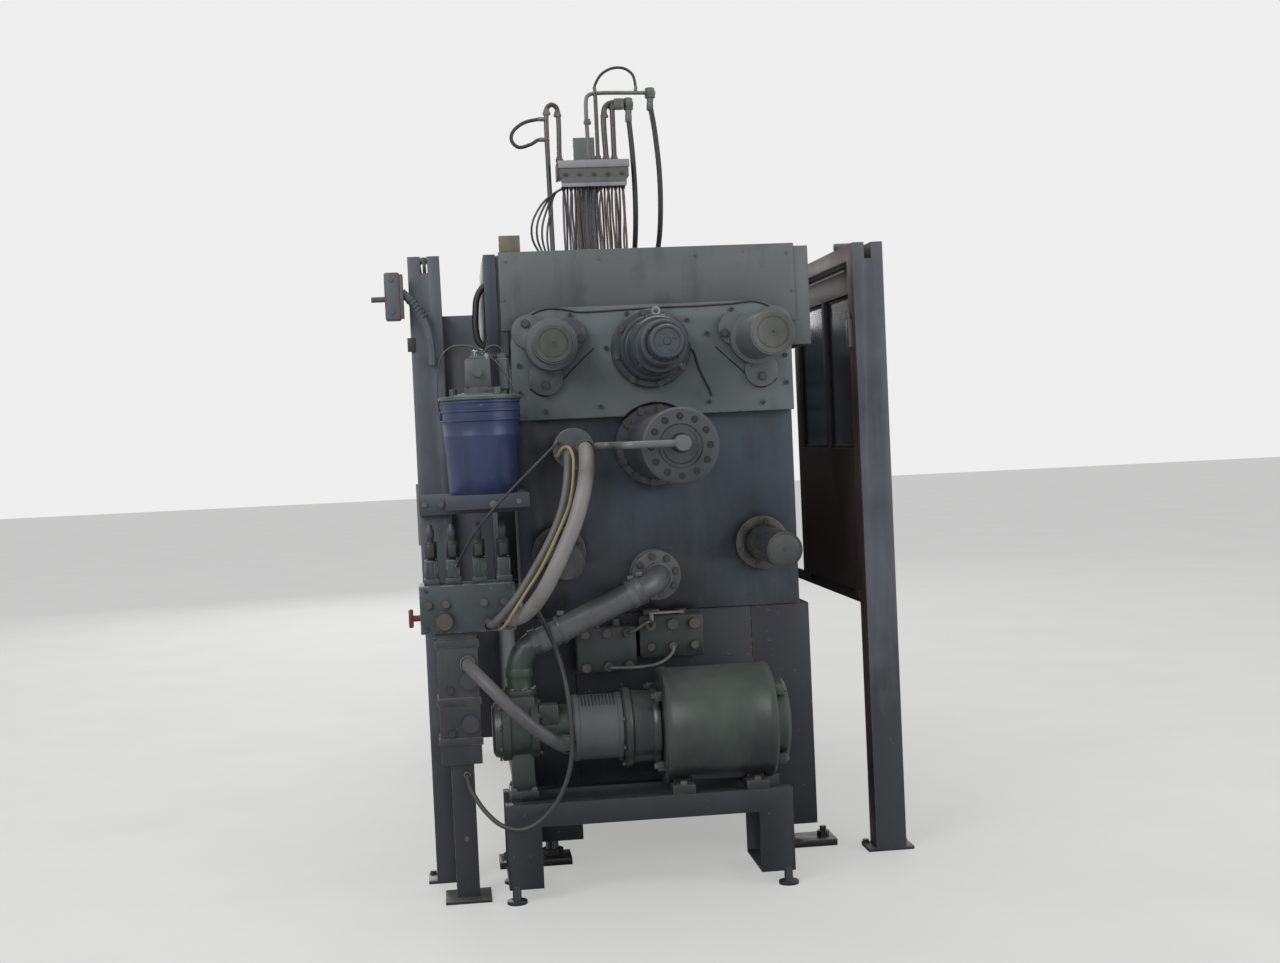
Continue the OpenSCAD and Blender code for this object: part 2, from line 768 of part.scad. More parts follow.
module pail() {
    wall = 3;
    color("royalblue") along() translate([pail_x, pail_u, shelf_top]) rotate_extrude()
        polygon([
            [0, 0], [pail_base_d / 2, 0], [pail_d / 2 - 4, pail_h - 60], [pail_d / 2, pail_h - 60],
            [pail_d / 2, pail_h], [pail_d / 2 - wall, pail_h], [pail_d / 2 - 4 - wall, pail_h - 60],
            [pail_base_d / 2 - wall, wall], [0, wall]
        ]);
}

lid_t = 25;
module pail_lid() {
    color("slategray") along() translate([pail_x, pail_u, shelf_top + pail_h])
        cylinder(h = lid_t, d = pail_d + 10);
}

module pail_pump() {
    base = shelf_top + pail_h + lid_t;
    color("gray") along() {
        bar_z(pail_x, pail_u, base, base + 25, 110);
        bar_z(pail_x, pail_u, base + 25, base + 150, 64);
        block([pail_x - 22, pail_u - 70, base + 60], [pail_x + 22, pail_u, base + 105]);
    }
}

// Valve manifold on its stand
manifold_z = [939, 1105];
valve_body_h = 85;
valve_coil_h = 123;
manifold_x = [-880, -552];
manifold_u = [-300, -150];
valve_x = [-835, -760, -670, -585];
module valve_manifold() {
    color("dimgray") along() {
        block([manifold_x[0], manifold_u[0], manifold_z[0]], [manifold_x[1], manifold_u[1], manifold_z[1]]);
        for (x = valve_x) {
            block([x - 27, -275, manifold_z[1]], [x + 27, -175, manifold_z[1] + valve_body_h]);
            bar_z(x, -225, manifold_z[1] + valve_body_h, manifold_z[1] + valve_body_h + valve_coil_h, 44);
        }
    }
}

stand_x = -760;
stand_u = -220;
stand_t = 12;
column_top = manifold_z[0] - 459;
module manifold_stand() {
    color("saddlebrown") along() translate([stand_x, stand_u, 0]) {
        block([-70, -60, column_top], [70, 60, manifold_z[0]]);
        block([-40, -40, stand_t], [40, 40, column_top]);
        block([-80, -80, 0], [80, 80, stand_t]);
    }
}

// Hose block on the rear platen, and the pipe that joins it to the closing cylinder
block_x = -329;
block_z = axis_h + 4;
hose_block_d = 142;
pipe_d = 24;
pipe_z = axis_h + 10;
port_u = -cylinder_out - 45;
module hose_block() {
    color("slategray") along() {
        bar_y(block_x, block_z, -330, casting_u, 120);
        bar_y(block_x, block_z, -330, -270, hose_block_d);
    }
}

module cylinder_pipe() {
    color("slategray") along() {
        pipe_run([[block_x + hose_block_d / 2 + fit, -300, pipe_z], [-190, -300, pipe_z],
                  [-190, port_u, pipe_z], [0, port_u, pipe_z]], pipe_d, 34);
        bar_y(0, pipe_z, port_u - 24, -cylinder_out, 52);
    }
}

// Pump set
pump_u = -200;
suction_r = 110;
suction_x = -549;
suction_flange = [-30, bed_h + 140];
suction_rim = 44;
pump_top = motor_h + 140;
module suction_pipe() {
    color("slategray") along() {
        pipe_run([[suction_flange[0], casting_u, suction_flange[1]],
                  [suction_flange[0], pump_u - 30, suction_flange[1]],
                  [suction_x, pump_u, pump_top + 150], [suction_x, pump_u, pump_top + 12]],
                 suction_d, suction_r, 10);
        bar_y(suction_flange[0], suction_flange[1], -60, -35, suction_d + 2 * suction_rim);
        bar_y(suction_flange[0], suction_flange[1], casting_u - 22, casting_u, suction_d + 2 * suction_rim);
        bar_z(suction_x, pump_u, pump_top, pump_top + 20, suction_d + 30);
    }
}

frame_top = motor_h - motor_d / 2 - 15;
pump_x = [-650, -488];
bell_end = -368;
guard_end_x = -194;
module pump() {
    color("darkseagreen") along() {
        bar_x(pump_u, motor_h + 20, pump_x[0], pump_x[1], 220);
        block([suction_x - 61, pump_u - 70, motor_h + 20], [suction_x + 49, pump_u + 70, pump_top]);
        bar_x(pump_u, motor_h + 20, pump_x[1], bell_end, 150);
        bar_y(-405, 540, -330, pump_u, 56);
        block([suction_x - 51, pump_u - 80, frame_top], [suction_x + 49, pump_u + 80, motor_h]);
    }
}

module coupling_guard() {
    color("gray") along() {
        bar_x(pump_u, motor_h + 10, bell_end, guard_end_x, 235);
    }
}

bell_d = 280;
module pump_motor() {
    color("darkseagreen") along() {
        bar_x(pump_u, motor_h, guard_end_x, -62, bell_d);
        bar_x(pump_u, motor_h, -62, 335, motor_d);
        bar_x(pump_u, motor_h, 335, 390, motor_d - 120);
        for (x = [0, 260])
            block([x - 40, pump_u - 150, frame_top], [x + 40, pump_u + 150, motor_h]);
    }
}

leg_x = [-620, 260];
module pump_frame() {
    color("dimgray") along() {
        for (u = [pump_u - 150, pump_u + 90])
            block([leg_x[0], u, frame_top - 80], [leg_x[1] + 120, u + 60, frame_top]);
        for (x = leg_x) {
            block([x, pump_u - 150, 60], [x + 120, pump_u - 138, frame_top - 80]);
            block([x, pump_u + 138, 60], [x + 120, pump_u + 150, frame_top - 80]);
            for (u = [pump_u - 140, pump_u + 140]) {
                bar_z(x < 0 ? x + 25 : x + 95, u, 12, 60, 30);
                bar_z(x < 0 ? x + 25 : x + 95, u, 0, 12, 70);
            }
            block([x, pump_u - 150, 48], [x + 120, pump_u + 150, 60]);
        }
    }
}

module valve_blocks() {
    color("olivedrab") along() {
        block([-330, -60, bed_h - 200], [-115, bed_start, bed_h - 40]);
        block([-100, -40, bed_h - 160], [135, bed_start, bed_h - 10]);
    }
}

// Sprayer on the fixed platen
spray_x = 11;
spray_u = 2200;
strip_h = 40;
head_h = 80;
head_low = sprayer_h - head_h - strip_h;
mast_u = fixed_u + 60;
nozzle_top = 2400;
rod_top = sprayer_h + 288;
pipe_top = sprayer_h + 335;
module sprayer_mast() {
    color("darkslategray") along() {
        block([spray_x - 150, mast_u - 20, platen_top], [spray_x + 150, mast_u + 180, platen_top + 20]);
        block([spray_x - 55, mast_u, platen_top + 20], [spray_x + 55, mast_u + 110, sprayer_h + 200]);
        block([spray_x - 50, spray_u + 60, sprayer_h - 110], [spray_x + 50, mast_u, sprayer_h - 10]);
    }
}

module sprayer_head() {
    color("darkslategray") along() {
        block([spray_x - sprayer_w / 2, spray_u - 60, head_low + strip_h],
              [spray_x + sprayer_w / 2, spray_u + 60, sprayer_h]);
        block([spray_x - sprayer_w / 2 + 12, spray_u - 66, head_low],
              [spray_x + sprayer_w / 2 - 12, spray_u + 54, head_low + strip_h]);
    }
}

module sprayer_pipes() {
    color("dimgray") along() {
        pipe_run([[-150, spray_u, sprayer_h], [-150, spray_u, rod_top], [-203, spray_u, rod_top],
                  [-203, spray_u, nozzle_top]], 24, 26);
        pipe_run([[-5, spray_u, sprayer_h], [-5, spray_u, pipe_top], [310, spray_u, pipe_top]], 20, 24);
        pipe_run([[80, spray_u, sprayer_h], [80, spray_u, rod_top], [194, spray_u, rod_top]], 28, 34);
        bar_z(40, spray_u, sprayer_h, pipe_top, 20);
        bar_z(120, spray_u, sprayer_h, rod_top - 10, 26);
        bar_z(310, spray_u, pipe_top - 28, pipe_top + 22, 56);
        bar_z(200, spray_u, rod_top - 36, rod_top + 24, 52);
    }
}

tube_d = 12;
tube_pitch = (sprayer_w - 50) / (tube_count - 1);
module spray_tubes() {
    color("gray") along() for (k = [0:tube_count - 1], r = [-1, 1])
        bar_z(spray_x - sprayer_w / 2 + 25 + k * tube_pitch, spray_u + r * 20, nozzle_top, head_low, tube_d);
}

module spray_nozzle_block() {
    color("dimgray") along()
        block([-230, spray_u - 50, nozzle_top - 90], [spray_x + sprayer_w / 2 + 20, spray_u + 50, nozzle_top]);
}

// Small junction box on the hood
module hood_box() {
    color("dimgray") along()
        block([-538, casting_u + 8, hood_top], [-462, casting_u + 78, hood_top + 72]);
}

box_u = [fixed_u + 60, fixed_u + 220];
module spray_valve_box() {
    color("darkslategray") along()
        block([180, box_u[0], platen_top], [430, box_u[1], platen_top + 180]);
}

// Routes of the free hoses and cables, placed by hand, counted as the rest from the gear cover
box_top = platen_top + 180;
hose_large_route = [
    [-294, -330, 1553], [-294, -372, 1553], [-295, -424, 1545], [-297, -474, 1520],
    [-303, -516, 1480], [-314, -546, 1430], [-333, -562, 1366], [-355, -566, 1305],
    [-377, -566, 1258], [-400, -565, 1210], [-429, -558, 1154], [-461, -534, 1094],
    [-496, -494, 1041], [-532, -440, 1003], [-562, -390, 988], [-578, -342, 985],
    [-578, -300, 985]
];
hose_slim_route = [
    [-353, -330, 1542], [-353, -364, 1542], [-355, -398, 1534], [-358, -430, 1515],
    [-361, -454, 1484], [-367, -468, 1440], [-377, -473, 1390], [-397, -473, 1328],
    [-432, -473, 1253], [-484, -472, 1165], [-539, -468, 1082], [-579, -450, 1031],
    [-611, -416, 994], [-632, -372, 972], [-645, -332, 965], [-645, -300, 965]
];
hose_yellow_route = [
    [-385, -330, 1531], [-385, -348, 1531], [-381, -368, 1544], [-371, -390, 1558],
    [-357, -416, 1562], [-346, -442, 1548], [-341, -465, 1522], [-343, -482, 1490],
    [-347, -492, 1450], [-354, -494, 1408], [-369, -494, 1355], [-414, -494, 1260],
    [-468, -494, 1160], [-524, -492, 1080], [-562, -480, 1024], [-586, -450, 984],
    [-602, -410, 961], [-611, -368, 953], [-612, -332, 952], [-612, -300, 952]
];
pressure_route = [
    [-725, -280, 832], [-725, -322, 832], [-714, -368, 822], [-690, -410, 800],
    [-656, -442, 766], [-616, -462, 724], [-572, -472, 678], [-530, -468, 637],
    [-490, -452, 601], [-453, -428, 571], [-424, -400, 549], [-405, -362, 540],
    [-405, -330, 540]
];
cable_route = [
    [-475, casting_u, 985], [-475, -20, 985], [-466, -150, 976], [-443, -280, 926],
    [-414, -380, 838], [-397, -440, 740], [-391, -466, 630], [-393, -472, 530],
    [-411, -470, 446], [-450, -466, 368], [-507, -456, 306], [-571, -442, 276],
    [-636, -418, 290], [-684, -388, 328], [-718, -354, 372], [-739, -320, 412],
    [-745, -288, 440], [-745, -260, 440]
];
spray_outer_route = [
    [310, spray_u, 3240], [310, spray_u, 3200], [326, spray_u + 2, 3080], [340, spray_u + 6, 2900],
    [342, spray_u + 20, 2740], [338, spray_u + 70, 2590], [330, spray_u + 170, 2490],
    [324, spray_u + 320, 2450], [320, spray_u + 440, 2410], [320, spray_u + 480, box_top + 50],
    [320, spray_u + 480, box_top]
];
spray_inner_route = [
    [200, spray_u, 3185], [200, spray_u, 3140], [210, spray_u + 2, 2990], [216, spray_u + 8, 2820],
    [216, spray_u + 30, 2660], [214, spray_u + 100, 2530], [214, spray_u + 220, 2455],
    [214, spray_u + 350, 2425], [214, spray_u + 440, box_top + 60], [214, spray_u + 440, box_top]
];
spray_loop_route = [
    [-215, spray_u, 3150], [-250, spray_u, 3150], [-320, spray_u - 12, 3132],
    [-372, spray_u - 18, 3090], [-380, spray_u - 18, 3045], [-345, spray_u - 14, 3014],
    [-285, spray_u - 4, 3030], [-250, spray_u, 3050], [-215, spray_u, 3050]
];
spray_arch_route = [
    [40, spray_u, 3278], [40, spray_u, 3308], [72, spray_u, 3360], [125, spray_u, 3390],
    [185, spray_u, 3390], [228, spray_u, 3358], [240, spray_u, 3308], [240, spray_u, 3278]
];
signal_route = [
    [-384, -330, 1578], [-384, -346, 1578], [-391, -366, 1573], [-411, -393, 1556],
    [-446, -422, 1525], [-490, -444, 1486], [-540, -452, 1440], [-592, -450, 1390],
    [-640, -436, 1338], [-684, -408, 1284], [-716, -372, 1232], [-738, -330, 1190],
    [-745, -298, 1170], [-745, -275, 1170]
];

module hose_large() { color("lightgray") along() hose(hose_large_route, 52, 10); }
module hose_slim() { color("lightgray") along() hose(hose_slim_route, 28, 8); }
module hose_yellow() { color("goldenrod") along() hose(hose_yellow_route, 11, 8); }
module pressure_hose() { color("gray") along() hose(pressure_route, 45, 10); }
module cable_loop() { color("black") along() hose(cable_route, 16, 8); }
module spray_hose_outer() { color("black") along() hose(spray_outer_route, 26, 8); }
module spray_hose_inner() { color("black") along() hose(spray_inner_route, 26, 8); }
module spray_loop() { color("black") along() hose(spray_loop_route, 18, 8); }
module spray_arch() { color("black") along() hose(spray_arch_route, 14, 8); }
module signal_cable() { color("black") along() hose(signal_route, 9, 8); }

bed_beams();
bed_cross_walls();
levelling_feet();
oil_tank();
rear_platen();
gear_cover();
toggle_hood();
nut_covers();
tie_nuts();
tie_bars();
gear_motor();
closing_cylinder();
crosshead();
toggle_links();
moving_platen();
fixed_platen();
injection_frame();
shot_cylinder();
shot_sleeve();
shot_plunger();
accumulators();
guard_frame_left();
guard_frame_right();
guard_shields();
door_left();
door_right();
panes_left();
panes_right();
lamp();
pail_shelf();
pail();
pail_lid();
pail_pump();
valve_manifold();
manifold_stand();
hose_block();
cylinder_pipe();
suction_pipe();
pump();
pump_motor();
coupling_guard();
pump_frame();
valve_blocks();
sprayer_mast();
sprayer_head();
sprayer_pipes();
spray_tubes();
spray_nozzle_block();
spray_valve_box();
hose_large();
hose_slim();
hose_yellow();
pressure_hose();
cable_loop();
spray_hose_outer();
spray_hose_inner();
spray_loop();
spray_arch();
signal_cable();
hood_box();
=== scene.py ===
# Looks of a cold chamber die casting machine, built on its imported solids.
# Metres, +Z up. at() takes millimetres: x across the machine, u along it from the rear
# face of the gear cover, z above the floor.

import json
import math
import random

import bmesh
import bpy
from bpy.props import FloatProperty, FloatVectorProperty, IntProperty, PointerProperty
from mathutils import Matrix, Vector

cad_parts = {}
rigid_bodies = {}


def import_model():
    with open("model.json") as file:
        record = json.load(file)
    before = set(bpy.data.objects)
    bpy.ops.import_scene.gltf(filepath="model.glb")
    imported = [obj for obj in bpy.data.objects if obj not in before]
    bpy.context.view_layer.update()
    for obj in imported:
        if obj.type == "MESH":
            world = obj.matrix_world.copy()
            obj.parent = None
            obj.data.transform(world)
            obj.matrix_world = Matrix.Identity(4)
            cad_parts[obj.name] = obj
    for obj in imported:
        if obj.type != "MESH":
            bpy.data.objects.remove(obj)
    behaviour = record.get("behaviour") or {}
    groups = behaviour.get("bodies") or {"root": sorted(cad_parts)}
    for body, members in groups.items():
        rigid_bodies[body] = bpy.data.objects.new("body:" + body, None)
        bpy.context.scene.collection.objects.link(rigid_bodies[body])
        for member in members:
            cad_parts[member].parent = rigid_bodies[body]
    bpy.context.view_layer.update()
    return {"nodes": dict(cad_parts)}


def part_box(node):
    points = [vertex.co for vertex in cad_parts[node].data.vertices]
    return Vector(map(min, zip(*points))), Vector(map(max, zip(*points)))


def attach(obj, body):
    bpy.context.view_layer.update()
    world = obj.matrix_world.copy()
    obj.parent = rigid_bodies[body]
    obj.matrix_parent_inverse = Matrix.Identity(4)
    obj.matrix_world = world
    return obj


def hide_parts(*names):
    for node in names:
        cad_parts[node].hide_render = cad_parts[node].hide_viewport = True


bl_info = {
    "name": "Die Casting Machine",
    "version": (1, 0, 0),
    "blender": (4, 5, 0),
    "location": "View3D > Sidebar > Machine",
    "description": "Finishes and details of a cold chamber die casting machine",
    "category": "Add Mesh",
}

for leftover in list(bpy.data.objects):
    bpy.data.objects.remove(leftover)
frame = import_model()

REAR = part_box("gear_cover")[0].y
BACK = Vector((0, -1, 0))
FRONT = Vector((0, 1, 0))
UP = Vector((0, 0, 1))
DOWN = Vector((0, 0, -1))
RIGHT = Vector((1, 0, 0))
LEFT = Vector((-1, 0, 0))


def at(x, u, z):
    """A place on the machine, given in millimetres."""
    return Vector((x * 0.001, REAR + u * 0.001, z * 0.001))


def rgb(r, g, b):
    """A colour written as it shows on a screen, turned into scene values."""
    return tuple(c / 3294.6 if c <= 10 else ((c / 255 + 0.055) / 1.055) ** 2.4 for c in (r, g, b))


# ---------------------------------------------------------------- settings


def colour_setting(name, words, value):
    return FloatVectorProperty(
        name=name, description=words, subtype="COLOR", size=3, min=0, max=1, default=value
    )


class MachineColours(bpy.types.PropertyGroup):
    enamel: colour_setting("Enamel", "Grey paint of castings and sheets", rgb(86, 91, 92))
    enamel_faded: colour_setting("Faded enamel", "Enamel where it has chalked", rgb(98, 102, 102))
    # The casting greys are darker partly for real dirt and partly as painted shade of the castings.
    casting: colour_setting("Casting grey", "Darker paint of the big castings", rgb(55, 66, 77))
    casting_faded: colour_setting("Faded casting", "The same paint where it has chalked", rgb(66, 77, 88))
    # The bed colour is set dark as painted shade of the bed low under the machine, not as its paint alone.
    bed: colour_setting("Bed paint", "Dark blue-grey paint of the bed", rgb(32, 38, 46))
    # The motor greens are the pump set's grey-green, set darker as well for painted shade down by the floor.
    motor: colour_setting("Motor green", "Grey-green of the pump and its motor", rgb(48, 58, 53))
    motor_faded: colour_setting("Faded green", "The same green where it has chalked", rgb(60, 70, 64))
    cover: colour_setting("Cover grey", "Paint of the nut covers", rgb(84, 90, 93))
    # Grease also colours the painted shade below each finish's low line.
    grease: colour_setting("Grease", "Old oil and casting dirt", rgb(26, 29, 33))
    dust: colour_setting("Dust", "Pale dust on faces that look up", rgb(116, 115, 111))
    rust: colour_setting("Rust", "Rust and red primer", rgb(94, 66, 58))
    pail: colour_setting("Pail blue", "Blue of the lubricant pail", rgb(45, 57, 94))
    grey_hose: colour_setting("Grey hose", "Cover of the large hose", rgb(112, 110, 108))
    tan_hose: colour_setting("Tan hose", "Cover of the thin hose", rgb(136, 122, 86))


class MachineSizes(bpy.types.PropertyGroup):
    casting_edge: FloatProperty(
        name="Casting edge", description="Radius on the edges of the castings",
        default=0.004, min=0.001, max=0.01, unit="LENGTH",
    )
    sheet_edge: FloatProperty(
        name="Sheet edge", description="Radius on the edges of folded sheet",
        default=0.0015, min=0.0005, max=0.004, unit="LENGTH",
    )
    round_steps: IntProperty(
        name="Round steps", description="Facets on a turned piece", default=56, min=16, max=96,
    )
    lens: FloatProperty(
        name="Lens", description="Focal length of the view, in millimetres", default=48.0, min=20, max=120,
    )


def colours():
    return bpy.context.scene.machine_colours


def sizes():
    return bpy.context.scene.machine_sizes


# ---------------------------------------------------------------- shader groups


def wire(tree, kind, feeds=None, **settings):
    """Adds a node, sets it up and joins or fills its inputs."""
    made = tree.nodes.new(kind)
    for name, value in settings.items():
        setattr(made, name, value)
    for key, value in (feeds or {}).items():
        socket = made.inputs[key]
        if isinstance(value, bpy.types.NodeSocket):
            tree.links.new(value, socket)
        elif socket.type == "RGBA" and len(value) == 3:
            socket.default_value = (*value, 1)
        else:
            socket.default_value = value
    return made


def sums(tree, how, a, b):
    return wire(tree, "ShaderNodeMath", {0: a, 1: b}, operation=how).outputs[0]


def mixed(tree, factor, a, b):
    return wire(tree, "ShaderNodeMix", {0: factor, 6: a, 7: b}, data_type="RGBA").outputs[2]


def between(tree, value, low, high, to_low=0.0, to_high=1.0):
    return wire(
        tree, "ShaderNodeMapRange", {0: value, 1: low, 2: high, 3: to_low, 4: to_high}, clamp=True
    ).outputs[0]


def speckle(tree, where, scale, detail=4.0, rough=0.55):
    return wire(
        tree, "ShaderNodeTexNoise",
        {"Vector": where, "Scale": scale, "Detail": detail, "Roughness": rough},
    ).outputs[0]


def group(name, inputs, outputs):
    tree = bpy.data.node_groups.new(name, "ShaderNodeTree")
    for label, value in inputs.items():
        kind = "NodeSocketColor" if isinstance(value, tuple) else "NodeSocketFloat"
        made = tree.interface.new_socket(label, in_out="INPUT", socket_type=kind)
        made.default_value = (*value, 1) if isinstance(value, tuple) else value
    for label, kind in outputs.items():
        tree.interface.new_socket(label, in_out="OUTPUT", socket_type=kind)
    return tree, wire(tree, "NodeGroupInput").outputs, wire(tree, "NodeGroupOutput").inputs


def build_weathering():
    """Fading, oil streaks, darkening towards the bottom below the Low Line (grease and painted shade) and settled dust,
    as one group.
    """
    tree, given, put = group(
        "weathering",
        {"Paint": (0.5, 0.5, 0.5), "Faded": (0.6, 0.6, 0.6), "Grease": (0.02, 0.02, 0.02),
         "Dust": (0.3, 0.3, 0.3), "Grease Amount": 0.4, "Dust Amount": 0.4, "Low Line": 0.6},
        {"Colour": "NodeSocketColor", "Grease And Shade Mask": "NodeSocketFloat", "Dust Mask": "NodeSocketFloat"},
    )
    where = wire(tree, "ShaderNodeTexCoord").outputs["Object"]
    streak_place = wire(tree, "ShaderNodeMapping", {"Vector": where, "Scale": (7.5, 7.5, 0.9)}).outputs[0]
    blotch = speckle(tree, where, 2.3, 6.0, 0.62)
    streak = speckle(tree, streak_place, 1.0, 5.0, 0.6)
    fading = between(tree, speckle(tree, where, 1.1, 5.0, 0.6), 0.38, 0.66)
    height = wire(tree, "ShaderNodeSeparateXYZ", {0: where}).outputs[2]
    # Below the Low Line the colour darkens towards the bottom: painted shade and grease both.
    low = between(tree, sums(tree, "SUBTRACT", given["Low Line"], height), 0.0, 0.7, 0.0, 0.28)
    both = sums(tree, "ADD", sums(tree, "MULTIPLY", blotch, 0.55), sums(tree, "MULTIPLY", streak, 0.45))
    level = sums(tree, "ADD", sums(tree, "ADD", both, low), sums(tree, "MULTIPLY", given["Grease Amount"], 0.3))
    # This mask holds the grease streaks and the painted shade below the Low Line.
    grease = between(tree, level, 0.6, 0.8)
    up = wire(tree, "ShaderNodeSeparateXYZ", {0: wire(tree, "ShaderNodeNewGeometry").outputs["Normal"]}).outputs[2]
    settled = sums(tree, "MULTIPLY", between(tree, up, 0.55, 0.95),
                   between(tree, speckle(tree, where, 11.0, 5.0, 0.6), 0.3, 0.62, 0.35, 1.0))
    dust = sums(tree, "MULTIPLY", settled, given["Dust Amount"])
    paint = mixed(tree, fading, given["Paint"], given["Faded"])
    greasy = mixed(tree, sums(tree, "MULTIPLY", grease, 0.82), paint, given["Grease"])
    tree.links.new(mixed(tree, dust, greasy, given["Dust"]), put["Colour"])
    tree.links.new(grease, put["Grease And Shade Mask"])
    tree.links.new(dust, put["Dust Mask"])
    return tree


def build_chipping():
    """Chips and rubbed edges that show what is under the paint."""
    tree, given, put = group(
        "chipping",
        {"Paint": (0.5, 0.5, 0.5), "Under": (0.2, 0.1, 0.06), "Amount": 0.4, "Scale": 26.0},
        {"Colour": "NodeSocketColor", "Chip Mask": "NodeSocketFloat"},
    )
    where = wire(tree, "ShaderNodeTexCoord").outputs["Object"]
    patch = speckle(tree, where, given["Scale"], 5.0, 0.68)
    edge = wire(tree, "ShaderNodeAttribute", attribute_name="edge").outputs["Fac"]
    level = sums(tree, "ADD", patch, sums(tree, "MULTIPLY", edge, sums(tree, "MULTIPLY", given["Amount"], 0.42)))
    mask = between(tree, level, 0.66, 0.7)
    tree.links.new(mixed(tree, mask, given["Paint"], given["Under"]), put["Colour"])
    tree.links.new(mask, put["Chip Mask"])
    return tree


def build_skin():
    """The grain of a surface: a broad unevenness with a fine one on it."""
    tree, given, put = group("surface_grain", {"Broad": 9.0, "Fine": 160.0, "Share": 0.4},
                             {"Height": "NodeSocketFloat"})
    where = wire(tree, "ShaderNodeTexCoord").outputs["Object"]
    broad = speckle(tree, where, given["Broad"], 3.0, 0.5)
    fine = speckle(tree, where, given["Fine"], 2.0, 0.5)
    height = sums(tree, "ADD", sums(tree, "MULTIPLY", broad, sums(tree, "SUBTRACT", 1.0, given["Share"])),
                  sums(tree, "MULTIPLY", fine, given["Share"]))
    tree.links.new(height, put["Height"])
    return tree


groups = {}
finishes = {}


def use(tree, name, feeds):
    made = wire(tree, "ShaderNodeGroup", node_tree=groups[name])
    for key, value in feeds.items():
        socket = made.inputs[key]
        if isinstance(value, bpy.types.NodeSocket):
            tree.links.new(value, socket)
        else:
            socket.default_value = (*value, 1) if socket.type == "RGBA" else value
    return made.outputs


def finish(name, paint, faded=None, grease=0.35, dust=0.35, low=0.6, chips=0.3, under=None,
           rough=0.5, metal=0.0, bump=0.15, broad=9.0, fine=160.0, share=0.4, chip_scale=26.0,
           grease_colour=None, dust_colour=None, **plain):
    """A weathered finish, darker below its low line for painted shade as well as grease. plain holds values set on the
    shader's own sockets.
    """
    if name in finishes:
        return finishes[name]
    c = colours()
    made = bpy.data.materials.new(name)
    made.use_nodes = True
    tree = made.node_tree
    shader = tree.nodes["Principled BSDF"]
    weather = use(tree, "weathering", {
        "Paint": tuple(paint), "Faded": tuple(faded or [min(1, v * 1.25 + 0.01) for v in paint]),
        "Grease": tuple(grease_colour or c.grease), "Dust": tuple(dust_colour or c.dust),
        "Grease Amount": grease, "Dust Amount": dust, "Low Line": low})
    chip = use(tree, "chipping", {
        "Paint": weather["Colour"], "Under": tuple(under or c.rust), "Amount": chips, "Scale": chip_scale})
    tree.links.new(chip["Colour"], shader.inputs["Base Color"])
    wet = between(tree, weather["Grease And Shade Mask"], 0.0, 1.0, rough, max(0.2, rough - 0.14))
    dull = sums(tree, "ADD", wet, sums(tree, "MULTIPLY", weather["Dust Mask"], 0.3))
    tree.links.new(sums(tree, "ADD", dull, sums(tree, "MULTIPLY", chip["Chip Mask"], 0.1)), shader.inputs["Roughness"])
    if metal:
        clean = between(tree, sums(tree, "ADD", weather["Grease And Shade Mask"], weather["Dust Mask"]), 0.0, 1.0, metal, 0.1)
        tree.links.new(clean, shader.inputs["Metallic"])
    grain = use(tree, "surface_grain", {"Broad": broad, "Fine": fine, "Share": share})
    worn = sums(tree, "SUBTRACT", grain["Height"], sums(tree, "MULTIPLY", chip["Chip Mask"], 0.25))
    tree.links.new(wire(tree, "ShaderNodeBump", {"Height": worn, "Strength": bump, "Distance": 0.004}).outputs[0],
                   shader.inputs["Normal"])
    for key, value in plain.items():
        shader.inputs[key.replace("_", " ")].default_value = value
    finishes[name] = made
    return made


